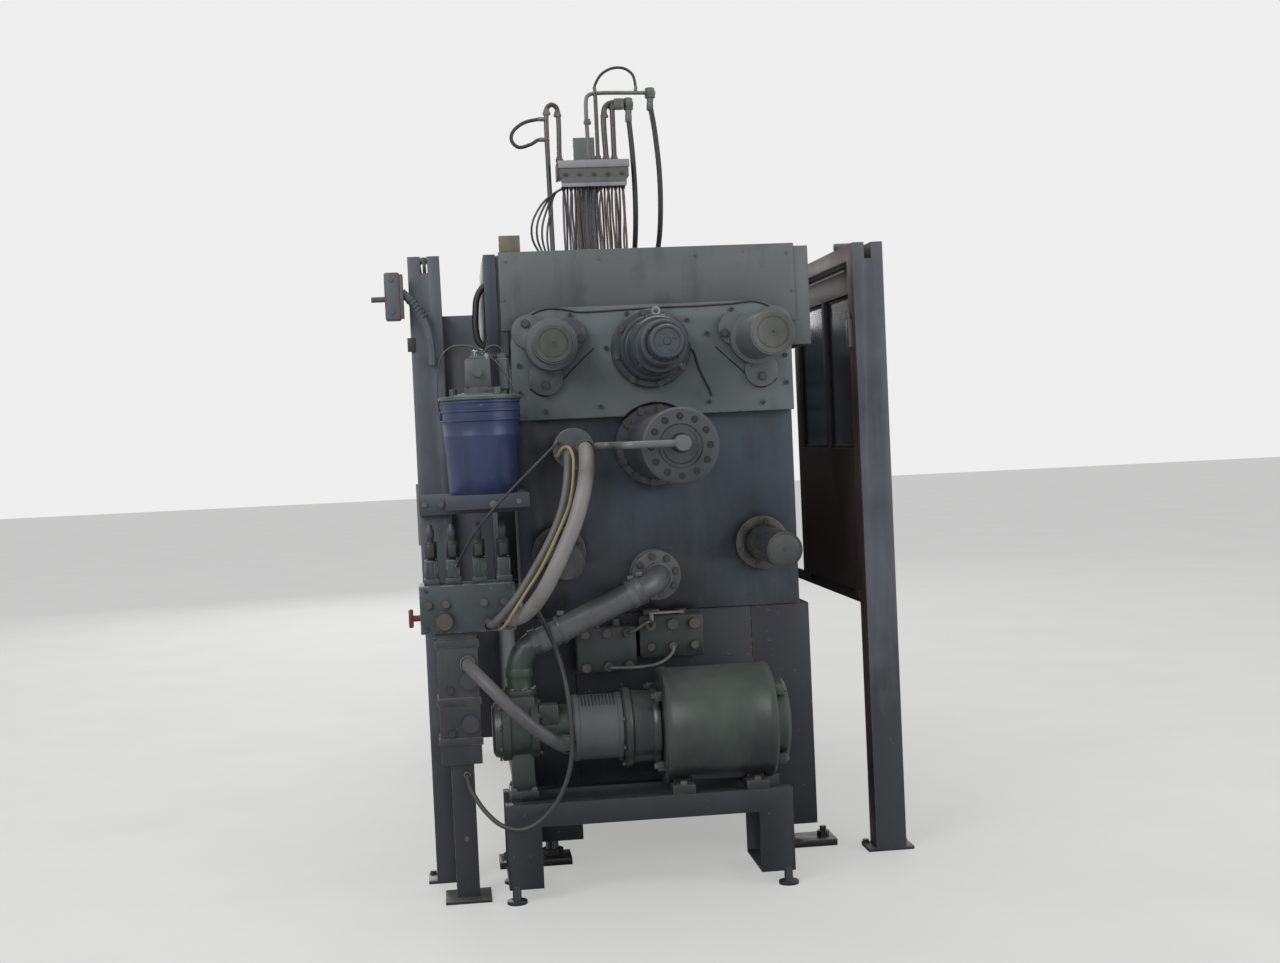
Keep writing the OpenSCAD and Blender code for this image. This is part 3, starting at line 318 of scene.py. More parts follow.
def build_finishes():
    c = colours()
    finish("machine_paint", c.enamel, c.enamel_faded, grease=0.26, dust=0.3, low=1.5, chips=0.3, rough=0.46)
    # Castings: darker paint that holds painted shade as well as dirt, with more darkening below 1.4 m.
    finish("machine_paint_dirty_shaded", c.casting, c.casting_faded, grease=0.42, dust=0.18, low=1.4, chips=0.35, rough=0.46)
    finish("cover_paint", rgb(94, 103, 106), rgb(102, 109, 111), grease=0.22, dust=0.2, low=0.8, chips=0.3, rough=0.46)
    finish("guard_paint", rgb(72, 78, 87), rgb(84, 89, 97), grease=0.36, dust=0.3, low=1.0, chips=0.5, rough=0.5)
    finish("red_primer", rgb(84, 62, 59), rgb(62, 49, 48), grease=0.4, dust=0.15, low=0.5, chips=0.3,
           under=rgb(110, 88, 86), rough=0.62)
    # Bed, pump frame and cross walls: the bed colour darkened further, painted shade.
    finish("bed_paint", [v * 0.7 for v in c.bed], c.bed, grease=0.4, dust=0.16, low=0.5, chips=0.3, rough=0.48)
    # Pump set, oil tank and pipe elbow: grey-green that also holds painted shade.
    finish("motor_paint", c.motor, c.motor_faded, grease=0.4, dust=0.3, low=0.75, chips=0.4,
           under=rgb(60, 60, 56), rough=0.42)
    finish("block_paint", rgb(48, 61, 60), rgb(62, 74, 70), grease=0.45, dust=0.35, low=0.8, chips=0.3, rough=0.46)
    finish("drum_paint", rgb(70, 75, 78), rgb(82, 86, 87), grease=0.36, dust=0.3, low=0.4, chips=0.3, rough=0.42)
    finish("nut_paint", c.cover, [v * 1.18 for v in c.cover], grease=0.36, dust=0.35, low=0.5, chips=0.5,
           under=rgb(96, 84, 76), rough=0.44)
    finish("gear_paint", rgb(55, 63, 71), rgb(64, 71, 78), grease=0.35, dust=0.3, low=0.5, chips=0.45,
           under=rgb(128, 130, 132), rough=0.4)
    finish("cylinder_paint", rgb(60, 65, 70), rgb(72, 76, 80), grease=0.4, dust=0.3, low=0.5, chips=0.4,
           under=rgb(112, 108, 104), rough=0.42)
    finish("shelf_paint", rgb(50, 57, 69), rgb(62, 68, 78), grease=0.36, dust=0.35, low=0.9, chips=0.45, rough=0.46)
    finish("stand_paint", rgb(50, 53, 58), rgb(64, 64, 65), grease=0.45, dust=0.35, low=0.8, chips=0.5,
           under=rgb(92, 78, 70), rough=0.55)
    finish("manifold_paint", rgb(50, 60, 64), rgb(62, 71, 74), grease=0.42, dust=0.4, low=0.8, chips=0.4,
           under=rgb(104, 106, 108), rough=0.44)
    finish("tan_paint", rgb(104, 96, 83), rgb(118, 110, 97), grease=0.36, dust=0.35, low=0.4, chips=0.3, rough=0.5)
    finish("worn_end", rgb(88, 91, 85), rgb(101, 102, 95), grease=0.42, dust=0.2, chips=0.5,
           under=rgb(112, 108, 102), rough=0.44, metal=0.2)
    finish("steel", rgb(176, 176, 172), rgb(150, 148, 142), grease=0.3, dust=0.15, low=0.0, chips=0.1,
           under=rgb(120, 100, 84), rough=0.26, metal=1.0, bump=0.04)
    finish("bar_steel", rgb(112, 113, 112), rgb(92, 92, 90), grease=0.55, dust=0.2, low=1.3, chips=0.2,
           under=rgb(96, 88, 80), rough=0.32, metal=0.85, bump=0.05)
    finish("bar_end", rgb(64, 70, 69), rgb(76, 80, 78), grease=0.45, dust=0.1, low=0.4, chips=0.3,
           under=rgb(88, 86, 82), rough=0.46, metal=0.2, bump=0.08)
    finish("dark_steel", rgb(66, 66, 66), rgb(90, 88, 84), grease=0.45, dust=0.4, low=0.4, chips=0.5,
           under=rgb(112, 96, 84), rough=0.42, metal=0.7, bump=0.1)
    finish("bolt_steel", rgb(86, 84, 80), rgb(112, 106, 96), grease=0.45, dust=0.35, low=0.4, chips=0.5,
           under=c.rust, rough=0.4, metal=0.8, bump=0.05, chip_scale=70.0)
    finish("rusty_steel", rgb(88, 72, 62), c.rust, grease=0.45, dust=0.35, low=0.5, chips=0.5,
           under=rgb(124, 78, 52), rough=0.7, metal=0.2, bump=0.3)
    finish("grey_metal", rgb(96, 100, 99), rgb(120, 122, 118), grease=0.42, dust=0.4, low=0.4, chips=0.3,
           rough=0.45, metal=0.5, bump=0.1)
    finish("pipe_metal", rgb(90, 92, 95), rgb(106, 106, 106), grease=0.26, dust=0.35, low=0.4, chips=0.4,
           rough=0.42, metal=0.25, bump=0.12)
    finish("tube_metal", rgb(76, 74, 79), rgb(90, 82, 80), grease=0.4, dust=0.2, low=0.3, chips=0.3,
           under=rgb(130, 90, 66), rough=0.34, metal=0.85, bump=0.05)
    finish("tube_pale", rgb(128, 134, 140), rgb(104, 110, 118), grease=0.3, dust=0.2, low=0.3, chips=0.1, rough=0.4)
    finish("copper_tube", rgb(94, 74, 64), rgb(80, 68, 62), grease=0.4, dust=0.2, low=0.3, chips=0.2,
           rough=0.38, metal=0.85, bump=0.05)
    finish("dull_black", rgb(38, 38, 40), rgb(58, 58, 58), grease=0.35, dust=0.35, low=0.4, chips=0.1,
           under=rgb(90, 90, 88), rough=0.55, bump=0.08)
    # Near black for gaps, holes and slots: painted shade inside them.
    finish("recess_shade", rgb(18, 19, 20), rgb(26, 27, 27), grease=0.4, dust=0.1, low=0.0, chips=0.0, rough=0.7)
    finish("black_rubber", rgb(36, 36, 39), rgb(60, 58, 58), grease=0.3, dust=0.45, low=0.4, chips=0.05,
           under=rgb(90, 88, 86), rough=0.52, bump=0.1, broad=40.0)
    finish("pale_rubber", c.grey_hose, rgb(132, 130, 128), grease=0.34, dust=0.4, low=0.8, chips=0.5,
           under=rgb(160, 158, 154), rough=0.5, bump=0.12, broad=50.0, chip_scale=60.0)
    finish("slim_rubber", rgb(86, 84, 86), rgb(102, 100, 100), grease=0.34, dust=0.4, low=0.8, chips=0.4,
           under=rgb(130, 128, 124), rough=0.5, bump=0.12, broad=50.0, chip_scale=60.0)
    finish("tan_rubber", c.tan_hose, rgb(158, 140, 98), grease=0.3, dust=0.25, low=0.8, chips=0.3,
           under=rgb(110, 92, 64), rough=0.5, bump=0.1, broad=50.0, chip_scale=60.0)
    finish("pail_blue", c.pail, [v * 1.15 for v in c.pail], grease=0.32, dust=0.3, low=0.9, chips=0.35,
           under=rgb(112, 118, 140), rough=0.36, bump=0.06, chip_scale=44.0)
    finish("pail_lid_paint", rgb(74, 84, 84), rgb(88, 97, 96), grease=0.4, dust=0.45, low=0.9, chips=0.3,
           rough=0.45)
    finish("dark_red", rgb(112, 44, 40), rgb(92, 44, 40), grease=0.3, dust=0.2, low=0.3, chips=0.1, rough=0.4)
    finish("pale_plastic", rgb(152, 153, 156), rgb(132, 132, 134), grease=0.35, dust=0.3, low=0.3, chips=0.1,
           rough=0.4)
    finish("pane", rgb(48, 50, 56), rgb(60, 54, 54), grease=0.3, dust=0.1, low=0.6, chips=0.0, rough=0.16,
           bump=0.02, Transmission_Weight=0.55, IOR=1.5)
    finish("clear_bowl", rgb(120, 132, 138), rgb(110, 120, 126), grease=0.32, dust=0.2, low=0.4, chips=0.0,
           rough=0.14, bump=0.02, Transmission_Weight=0.75, IOR=1.46)


# ---------------------------------------------------------------- modelling helpers


def pose(where, toward):
    """Turns +Z towards a direction and moves it to a place."""
    return Matrix.Translation(where) @ Vector(toward).to_track_quat("Z", "Y").to_matrix().to_4x4()


def rounded(bm, edges, width, segments=2):
    made = bmesh.ops.bevel(
        bm, geom=list(edges), offset=width, offset_type="OFFSET", segments=segments, profile=0.5,
        affect="EDGES", clamp_overlap=True, material=-1,
    )
    layer = bm.loops.layers.float.get("edge") or bm.loops.layers.float.new("edge")
    for face in made["faces"]:
        for loop in face.loops:
            loop[layer] = 1.0
    return made


def block(bm, low, high, width=0.002, segments=2):
    """A box from its low to its high corner, with rounded edges."""
    size = high - low
    made = bmesh.ops.create_cube(
        bm, size=1, matrix=Matrix.Translation((low + high) / 2) @ Matrix.Diagonal((*size, 1)))
    if width:
        edges = {e for v in made["verts"] for e in v.link_edges}
        rounded(bm, edges, min(width, min(size) * 0.45), segments)


def turned(bm, profile, where, toward, steps=None):
    """Spins a profile of (distance, radius) pairs about an axis through a place."""
    steps = steps or sizes().round_steps
    fresh = [bm.verts.new((r, 0, d)) for d, r in profile]
    edges = [bm.edges.new(pair) for pair in zip(fresh, fresh[1:])]
    made = bmesh.ops.spin(
        bm, geom=fresh + edges, cent=(0, 0, 0), axis=(0, 0, 1), dvec=(0, 0, 0),
        angle=math.tau, steps=steps, use_merge=True, use_duplicate=False)
    ring = {v for item in made["geom_last"] if isinstance(item, bmesh.types.BMVert) for v in [item]} | set(fresh)
    todo, verts = list(ring), set(ring)
    while todo:
        for e in todo.pop().link_edges:
            for v in e.verts:
                if v not in verts:
                    verts.add(v)
                    todo.append(v)
    bmesh.ops.remove_doubles(bm, verts=list(verts), dist=1e-6)
    verts = [v for v in verts if v.is_valid]
    faces = list({f for v in verts for f in v.link_faces})
    bmesh.ops.recalc_face_normals(bm, faces=faces)
    bmesh.ops.transform(bm, matrix=pose(where, toward), verts=verts)


def bar(bm, start, end, radius, edge=0.001, steps=32):
    """A round bar between two places, with a small chamfer on both ends."""
    length = (end - start).length
    edge = min(edge, radius * 0.4, length * 0.3)
    turned(bm, [(0, 0), (0, radius - edge), (edge, radius), (length - edge, radius),
                (length, radius - edge), (length, 0)], start, end - start, steps)


def hex_head(bm, where, toward, size, washer=True):
    """A hexagon bolt head on its washer. size is the thread's diameter."""
    base = 0.0
    if washer:
        bmesh.ops.create_cone(bm, cap_ends=True, segments=12, radius1=size * 1.15, radius2=size * 1.15,
                              depth=size * 0.2, matrix=pose(where, toward) @ Matrix.Translation((0, 0, size * 0.1)))
        base = size * 0.2
    bmesh.ops.create_cone(bm, cap_ends=True, segments=6, radius1=size * 0.95, radius2=size * 0.88,
                          depth=size * 0.65,
                          matrix=pose(where, toward) @ Matrix.Translation((0, 0, base + size * 0.325)))


def cap_screw(bm, where, toward, size):
    """A socket cap screw."""
    turned(bm, [(0, size * 0.75), (size * 0.9, size * 0.75), (size, size * 0.66), (size, size * 0.42),
                (size * 0.5, size * 0.42), (size * 0.5, 0)], where, toward, 12)


def nut(bm, where, toward, inner, outer, height):
    """A six-sided nut with its hole."""
    turned(bm, [(0, inner), (0, outer), (height, outer), (height, inner)], where, toward, 6)


def around(where, toward, radius, count, start=0.0):
    """Places on a circle about an axis."""
    matrix = pose(where, toward)
    return [matrix @ Vector((radius * math.cos(start + math.tau * k / count),
                             radius * math.sin(start + math.tau * k / count), 0)) for k in range(count)]


def strip(bm, axis, radius, angle, size):
    """A flat bar along X, laid on a drum about an axis at an angle from the back over the top."""
    ray = Vector((0, -math.cos(angle), math.sin(angle)))
    side = Vector((0, math.sin(angle), math.cos(angle)))
    turn = Matrix((RIGHT, side, ray)).transposed().to_4x4()
    bmesh.ops.create_cube(
        bm, size=1, matrix=Matrix.Translation(axis + ray * radius) @ turn @ Matrix.Diagonal((*size, 1)))


def piece(name, bm, finish_name, body="machine", smooth=38, replaces=()):
    """Makes the piece from its mesh and lets it ride on its body."""
    mesh = bpy.data.meshes.new(name)
    bm.to_mesh(mesh)
    bm.free()
    mesh.materials.append(finishes[finish_name])
    mesh.polygons.foreach_set("use_smooth", [True] * len(mesh.polygons))
    mesh.set_sharp_from_angle(angle=math.radians(smooth))
    made = bpy.data.objects.new(name, mesh)
    bpy.context.scene.collection.objects.link(made)
    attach(made, body)
    if replaces:
        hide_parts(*replaces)
    return made


def pipe(name, runs, diameter, finish_name, body="machine", resolution=8, sides=4, replaces=()):
    """Round pipes through lists of places, as one smooth curve each."""
    curve = bpy.data.curves.new(name, "CURVE")
    curve.dimensions = "3D"
    curve.bevel_depth = diameter / 2
    curve.bevel_resolution = sides
    curve.resolution_u = resolution
    curve.use_fill_caps = True
    for run in runs:
        spline = curve.splines.new("BEZIER")
        spline.bezier_points.add(len(run) - 1)
        for point, place in zip(spline.bezier_points, run):
            point.co = place
            point.handle_left_type = point.handle_right_type = "AUTO"
    curve.materials.append(finishes[finish_name])
    made = bpy.data.objects.new(name, curve)
    bpy.context.scene.collection.objects.link(made)
    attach(made, body)
    if replaces:
        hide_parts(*replaces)
    return made


def bent(points, radius, share=0.55):
    """The places of a pipe run whose corners are rounded to about a radius."""
    run = [points[0]]
    for a, p, b in zip(points, points[1:], points[2:]):
        back, on = (a - p), (b - p)
        cut = min(radius, back.length * 0.48, on.length * 0.48)
        start, end = p + back.normalized() * cut, p + on.normalized() * cut
        middle = (start + end) / 2 * (1 - share * 0.5) + p * share * 0.5
        run += [start, middle, end]
    run.append(points[-1])
    return run


def dressed(node, finish_name, width=None, body="machine", limit=28, patch=None):
    """A copy of a solid with rounded edges, which stands for it. patch paints some faces otherwise."""
    width = width or sizes().casting_edge
    bm = bmesh.new()
    bm.from_mesh(frame["nodes"][node].data)
    bmesh.ops.remove_doubles(bm, verts=bm.verts, dist=2e-5)
    bmesh.ops.dissolve_limit(bm, angle_limit=math.radians(0.4), verts=bm.verts, edges=bm.edges)
    sharp = [e for e in bm.edges if len(e.link_faces) == 2 and e.calc_face_angle(0) > math.radians(limit)]
    rounded(bm, sharp, width)
    if patch:
        for face in bm.faces:
            if patch[1](face):
                face.material_index = 1
    made = piece(node + "_dressed", bm, finish_name, body, replaces=(node,))
    if patch:
        made.data.materials.append(finishes[patch[0]])
    return made


# ---------------------------------------------------------------- castings and sheets


class MACHINE_OT_castings(bpy.types.Operator):
    """Round the edges of the castings, the sheets and the bed"""
    bl_idname = "machine.castings"
    bl_label = "Castings and bed"

    def execute(self, context):
        edge, thin = sizes().casting_edge, sizes().sheet_edge
        for node, coat, width in [
            ("rear_platen", "machine_paint_dirty_shaded", edge), ("gear_cover", "cover_paint", edge * 0.7),
            ("nut_covers", "nut_paint", edge * 0.6),
            ("moving_platen", "machine_paint_dirty_shaded", edge),
            ("fixed_platen", "machine_paint_dirty_shaded", edge), ("bed_beams", "bed_paint", edge),
            ("bed_cross_walls", "bed_paint", edge * 0.6), ("oil_tank", "motor_paint", edge * 0.7),
            ("levelling_feet", "dark_steel", thin), ("crosshead", "dark_steel", edge * 0.5),
            ("toggle_links", "dark_steel", thin), ("injection_frame", "machine_paint", edge),
            ("shot_cylinder", "cylinder_paint", edge), ("tie_nuts", "dark_steel", edge * 0.6),
            ("guard_shields", "guard_paint", thin), ("pump_frame", "bed_paint", thin),
            ("pail_shelf", "shelf_paint", thin), ("manifold_stand", "stand_paint", thin),
            ("hose_block", "cylinder_paint", thin * 1.5), ("sprayer_mast", "machine_paint", edge * 0.6),
            ("spray_valve_box", "machine_paint", thin), ("hood_box", "tan_paint", thin),
            ("spray_nozzle_block", "dark_steel", thin),
        ]:
            dressed(node, coat, width)
        # The hood's side faces take the darker paint as painted shade on its sides.
        dressed("toggle_hood", "machine_paint", thin, patch=("machine_paint_dirty_shaded", lambda f: abs(f.normal.x) > 0.7))
        return {"FINISHED"}


class MACHINE_OT_finishes(bpy.types.Operator):
    """Give the solids that are shown as they are their finishes"""
    bl_idname = "machine.finishes"
    bl_label = "Plain solids"

    def execute(self, context):
        for node, coat in {
            "tie_bars": "bar_steel", "shot_sleeve": "dark_steel", "shot_plunger": "steel",
            "panes_left": "pane", "panes_right": "pane",
        }.items():
            solid = frame["nodes"][node]
            solid.data.materials.clear()
            solid.data.materials.append(finishes[coat])
        return {"FINISHED"}


# ---------------------------------------------------------------- hoses and cables

HOSES = {
    "hose_large": (0.052, "pale_rubber", [
        (-294, -330, 1553), (-294, -372, 1553), (-295, -424, 1545), (-297, -474, 1520), (-303, -516, 1480),
        (-314, -546, 1430), (-333, -562, 1366), (-355, -566, 1305), (-377, -566, 1258), (-400, -565, 1210),
        (-429, -558, 1154), (-461, -534, 1094), (-496, -494, 1041), (-532, -440, 1003), (-562, -390, 988),
        (-578, -342, 985), (-578, -300, 985)]),
    "hose_slim": (0.028, "slim_rubber", [
        (-353, -330, 1542), (-353, -364, 1542), (-355, -398, 1534), (-358, -430, 1515), (-361, -454, 1484),
        (-367, -468, 1440), (-377, -473, 1390), (-397, -473, 1328), (-432, -473, 1253), (-484, -472, 1165),
        (-539, -468, 1082), (-579, -450, 1031), (-611, -416, 994), (-632, -372, 972), (-645, -332, 965),
        (-645, -300, 965)]),
    "hose_yellow": (0.011, "tan_rubber", [
        (-385, -330, 1531), (-385, -348, 1531), (-381, -368, 1544), (-371, -390, 1558), (-357, -416, 1562),
        (-346, -442, 1548), (-341, -465, 1522), (-343, -482, 1490), (-347, -492, 1450), (-354, -494, 1408),
        (-369, -494, 1355), (-414, -494, 1260), (-468, -494, 1160), (-524, -492, 1080), (-562, -480, 1024),
        (-586, -450, 984), (-602, -410, 961), (-611, -368, 953), (-612, -332, 952), (-612, -300, 952)]),
    "pressure_hose": (0.045, "slim_rubber", [
        (-725, -280, 832), (-725, -322, 832), (-714, -368, 822), (-690, -410, 800), (-656, -442, 766),
        (-616, -462, 724), (-572, -472, 678), (-530, -468, 637), (-490, -452, 601), (-453, -428, 571),
        (-424, -400, 549), (-405, -362, 540), (-405, -330, 540)]),
    "cable_loop": (0.016, "black_rubber", [
        (-475, 52, 985), (-475, -20, 985), (-466, -150, 976), (-443, -280, 926), (-414, -380, 838),
        (-397, -440, 740), (-391, -466, 630), (-393, -472, 530), (-411, -470, 446), (-450, -466, 368),
        (-507, -456, 306), (-571, -442, 276), (-636, -418, 290), (-684, -388, 328), (-718, -354, 372),
        (-739, -320, 412), (-745, -288, 440), (-745, -260, 440)]),
    "spray_hose_outer": (0.026, "black_rubber", [
        (310, 2200, 3240), (310, 2200, 3200), (326, 2202, 3080), (340, 2206, 2900), (342, 2220, 2740),
        (338, 2270, 2590), (330, 2370, 2490), (324, 2520, 2450), (320, 2640, 2410), (320, 2680, 2355),
        (320, 2680, 2305)]),
    "spray_hose_inner": (0.026, "black_rubber", [
        (200, 2200, 3185), (200, 2200, 3140), (210, 2202, 2990), (216, 2208, 2820), (216, 2230, 2660),
        (214, 2300, 2530), (214, 2420, 2455), (214, 2550, 2425), (214, 2640, 2365), (214, 2640, 2305)]),
    "spray_loop": (0.018, "black_rubber", [
        (-215, 2200, 3150), (-250, 2200, 3150), (-320, 2188, 3132), (-372, 2182, 3090), (-380, 2182, 3045),
        (-345, 2186, 3014), (-285, 2196, 3030), (-250, 2200, 3050), (-215, 2200, 3050)]),
    "spray_arch": (0.014, "black_rubber", [
        (40, 2200, 3278), (40, 2200, 3308), (72, 2200, 3360), (125, 2200, 3390), (185, 2200, 3390),
        (228, 2200, 3358), (240, 2200, 3308), (240, 2200, 3278)]),
    "signal_cable": (0.009, "black_rubber", [
        (-384, -330, 1578), (-384, -346, 1578), (-391, -366, 1573), (-411, -393, 1556), (-446, -422, 1525),
        (-490, -444, 1486), (-540, -452, 1440), (-592, -450, 1390), (-640, -436, 1338), (-684, -408, 1284),
        (-716, -372, 1232), (-738, -330, 1190), (-745, -298, 1170), (-745, -275, 1170)]),
}
# Steel ends that are crimped on the hoses: length and how much thicker they are
CRIMPS = {"hose_large": (0.06, 1.14), "hose_slim": (0.046, 1.25), "hose_yellow": (0.02, 1.5),
          "pressure_hose": (0.045, 1.2), "spray_hose_outer": (0.06, 1.3), "spray_hose_inner": (0.06, 1.3),
          "cable_loop": (0.03, 1.5), "signal_cable": (0.018, 1.6), "spray_loop": (0.03, 1.25),
          "spray_arch": (0.024, 1.3)}


def through(points, parts=4):
    """A smooth line through given points."""
    ends = [points[0] * 2 - points[1]] + points + [points[-1] * 2 - points[-2]]
    line = []
    for a, b, c, d in zip(ends, ends[1:], ends[2:], ends[3:]):
        for k in range(parts):
            t = k / parts
            line.append(0.5 * (2 * b + (c - a) * t + (2 * a - 5 * b + 4 * c - d) * t * t
                               + (3 * b - a - 3 * c + d) * t ** 3))
    return line + [points[-1]]


def hose(name):
    """A free hose along its route."""
    diameter, coat, route = HOSES[name]
    line = through([at(*p) for p in route])
    curve = bpy.data.curves.new(name + "_line", "CURVE")
    curve.dimensions = "3D"
    curve.bevel_depth = diameter / 2
    curve.bevel_resolution = 5
    curve.use_fill_caps = True
    spline = curve.splines.new("POLY")
    spline.points.add(len(line) - 1)
    for point, place in zip(spline.points, line):
        point.co = (*place, 1)
    spline.use_smooth = True
    curve.materials.append(finishes[coat])
    made = bpy.data.objects.new(name + "_line", curve)
    bpy.context.scene.collection.objects.link(made)
    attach(made, "machine")
    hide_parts(name)
    return line


class MACHINE_OT_hoses(bpy.types.Operator):
    """Lay the free hoses and cables with their crimped ends"""
    bl_idname = "machine.hoses"
    bl_label = "Hoses and cables"

    def execute(self, context):
        bm = bmesh.new()
        for name in HOSES:
            line = hose(name)
            radius = HOSES[name][0] / 2
            length, share = CRIMPS[name]
            for end, inner in ((line[0], line[2]), (line[-1], line[-3])):
                toward = (inner - end).normalized()
                r, big = radius * 1.03, radius * share
                turned(bm, [(0, r * 0.9), (0, big * 0.96), (length * 0.28, big * 0.96), (length * 0.3, big * 0.86),
                            (length * 0.36, big * 0.86), (length * 0.4, big), (length * 0.9, big),
                            (length, r)], end, toward, 20)
        piece("hose_crimps", bm, "grey_metal")
        return {"FINISHED"}


# ---------------------------------------------------------------- clamp end


class MACHINE_OT_clamp_end(bpy.types.Operator):
    """Model the gear motor, the closing cylinder and the ends of the tie bars"""
    bl_idname = "machine.clamp_end"
    bl_label = "Clamp end"

    def execute(self, context):
        axis = at(-10, 0, 1902)
        bm = bmesh.new()
        turned(bm, [(0, 0.144), (0.048, 0.144), (0.055, 0.138), (0.055, 0.121), (0.062, 0.118), (0.104, 0.118),
                    (0.11, 0.112), (0.11, 0.104), (0.118, 0.102), (0.122, 0.096), (0.15, 0.096), (0.154, 0.102),
                    (0.288, 0.102), (0.3, 0.096), (0.3, 0.086), (0.306, 0.08), (0.424, 0.08), (0.43, 0.074),
                    (0.43, 0.0585), (0.494, 0.0585), (0.5, 0.053), (0.5, 0.047), (0.494, 0.044), (0.494, 0.014),
                    (0.498, 0.011), (0.498, 0)], axis, BACK)
        block(bm, at(-50, -262, 1998), at(30, -178, 2010), 0.003)
        for place in around(axis + BACK * 0.3, BACK, 0.09, 4, math.pi / 4):
            block(bm, place - Vector((0.011, -0.005, 0.011)), place + Vector((0.011, 0.13, 0.011)), 0.002)
        piece("gear_motor_turned", bm, "gear_paint", replaces=("gear_motor",))
        bm = bmesh.new()
        for place in around(axis + BACK * 0.055, BACK, 0.131, 8, 0.2):
            hex_head(bm, place, BACK, 0.012)
        for place in around(axis + BACK * 0.43, BACK, 0.069, 4, math.pi / 4):
            cap_screw(bm, place, BACK, 0.007)
        for place in around(axis + BACK * 0.494, BACK, 0.03, 4, 0.4):
            cap_screw(bm, place, BACK, 0.005)
        piece("gear_motor_screws", bm, "bolt_steel")
        # Thin dark rings in two gaps on the gear motor: painted shade in the gaps.
        bm = bmesh.new()
        turned(bm, [(0.4295, 0.06), (0.4312, 0.0605), (0.4312, 0.068), (0.4295, 0.0685)], axis, BACK)
        turned(bm, [(0.1505, 0.0965), (0.1515, 0.0975), (0.1535, 0.1), (0.1535, 0.0965)], axis, BACK)
        piece("gear_motor_gap_shade", bm, "recess_shade")
        bm = bmesh.new()
        turned(bm, [(-0.004, 0.009), (-0.004, 0.0165), (0.004, 0.0165), (0.004, 0.009), (-0.004, 0.009)],
               at(-10, -220, 2024), BACK, 24)
        piece("lifting_eye", bm, "steel")

        # Closing cylinder: barrel, bolted cap with its port, and the bolted flange
        low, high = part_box("closing_cylinder")
        centre = Vector((0, low.y, (low.z + high.z) / 2))
        barrel = 0.115
        flange = at(0, 7, 0).y - low.y
        bm = bmesh.new()
        turned(bm, [(0, 0), (0, 0.056), (0.005, 0.06), (0.005, 0.07), (0, 0.074), (0, 0.121), (0.007, 0.128),
                    (0.052, 0.128), (0.06, 0.122), (0.06, barrel), (flange - 0.05, barrel), (flange - 0.03, 0.119),
                    (flange, 0.125), (flange, 0.144), (flange + 0.006, 0.15), (flange + 0.045, 0.15),
                    (flange + 0.045, barrel), (high.y - low.y, barrel), (high.y - low.y, 0)], centre, FRONT)
        piece("closing_cylinder_turned", bm, "cylinder_paint", replaces=("closing_cylinder",))
        bm = bmesh.new()
        for place in around(centre, FRONT, 0.098, 12):
            cap_screw(bm, place + FRONT * 0.004, BACK, 0.0075)
        for place in around(centre + FRONT * flange, FRONT, 0.134, 12, 0.13):
            hex_head(bm, place, BACK, 0.016)
        piece("closing_cylinder_screws", bm, "dark_steel")
        # Dark discs in the cap's counterbores and a dark ring round its port: painted shade in the holes.
        bm = bmesh.new()
        for place in around(centre, FRONT, 0.098, 12):
            turned(bm, [(-0.0005, 0), (-0.0005, 0.012), (0.002, 0.0125), (0.002, 0)], place, FRONT, 20)
        turned(bm, [(-0.001, 0.026), (-0.001, 0.033), (0.002, 0.034), (0.002, 0.026)],
               at(0, 0, 1560) + BACK * (REAR - low.y), FRONT, 36)
        piece("counterbore_shade", bm, "recess_shade")
        dressed("cylinder_pipe", "pipe_metal", 0.001)

        # End faces, centre holes and flange screws of the nut covers
        bm = bmesh.new()
        ends = [(at(-375, -215, 1925), 0.073), (at(375, -373, 1925), 0.0785)]
        for place, r in ends:
            turned(bm, [(0, r - 0.004), (0.0035, r - 0.007), (0.0035, r * 0.72), (0.0015, r * 0.7), (0.0015, r * 0.67),
                        (0.0035, r * 0.65), (0.0035, 0.013), (0.0055, 0.012), (0.0055, 0.006), (0.001, 0.004),
                        (0.001, 0)], place, BACK)
        piece("turned_ends", bm, "worn_end")
        bm = bmesh.new()
        for sx in (-375, 375):
            low_z = 1175
            turned(bm, [(0, 0.052), (0.001, 0.05), (0.001, 0.009), (-0.003, 0.005), (-0.003, 0)],
                   Vector((sx * 0.001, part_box("tie_bars")[0].y, low_z * 0.001)), BACK)
        piece("bar_ends", bm, "bar_end")
        bm = bmesh.new()
        for side in (-1, 1):
            for dx, dz in ((112, 22), (-86, 84), (-22, -140)):
                hex_head(bm, at(side * (-375 + dx), -24, 1925 + dz), BACK, 0.015)
        for x, z in ((-296, 2036), (-171, 1912), (131, 2002), (202, 1951), (-90, 2034), (296, 2036), (-490, 1860),
                     (-490, 1760), (490, 1860), (490, 1760), (-200, 1700), (200, 1700), (-400, 1690), (400, 1690)):
            cap_screw(bm, at(x, 0, z), BACK, 0.011)
        piece("cover_screws", bm, "cylinder_paint")
        bm = bmesh.new()
        for side in (-1, 1):
            for place in around(at(side * 375, 2, 1175), BACK, 0.083, 6, 0.3):
                cap_screw(bm, place, BACK, 0.012)
        piece("lower_nut_screws", bm, "bolt_steel")

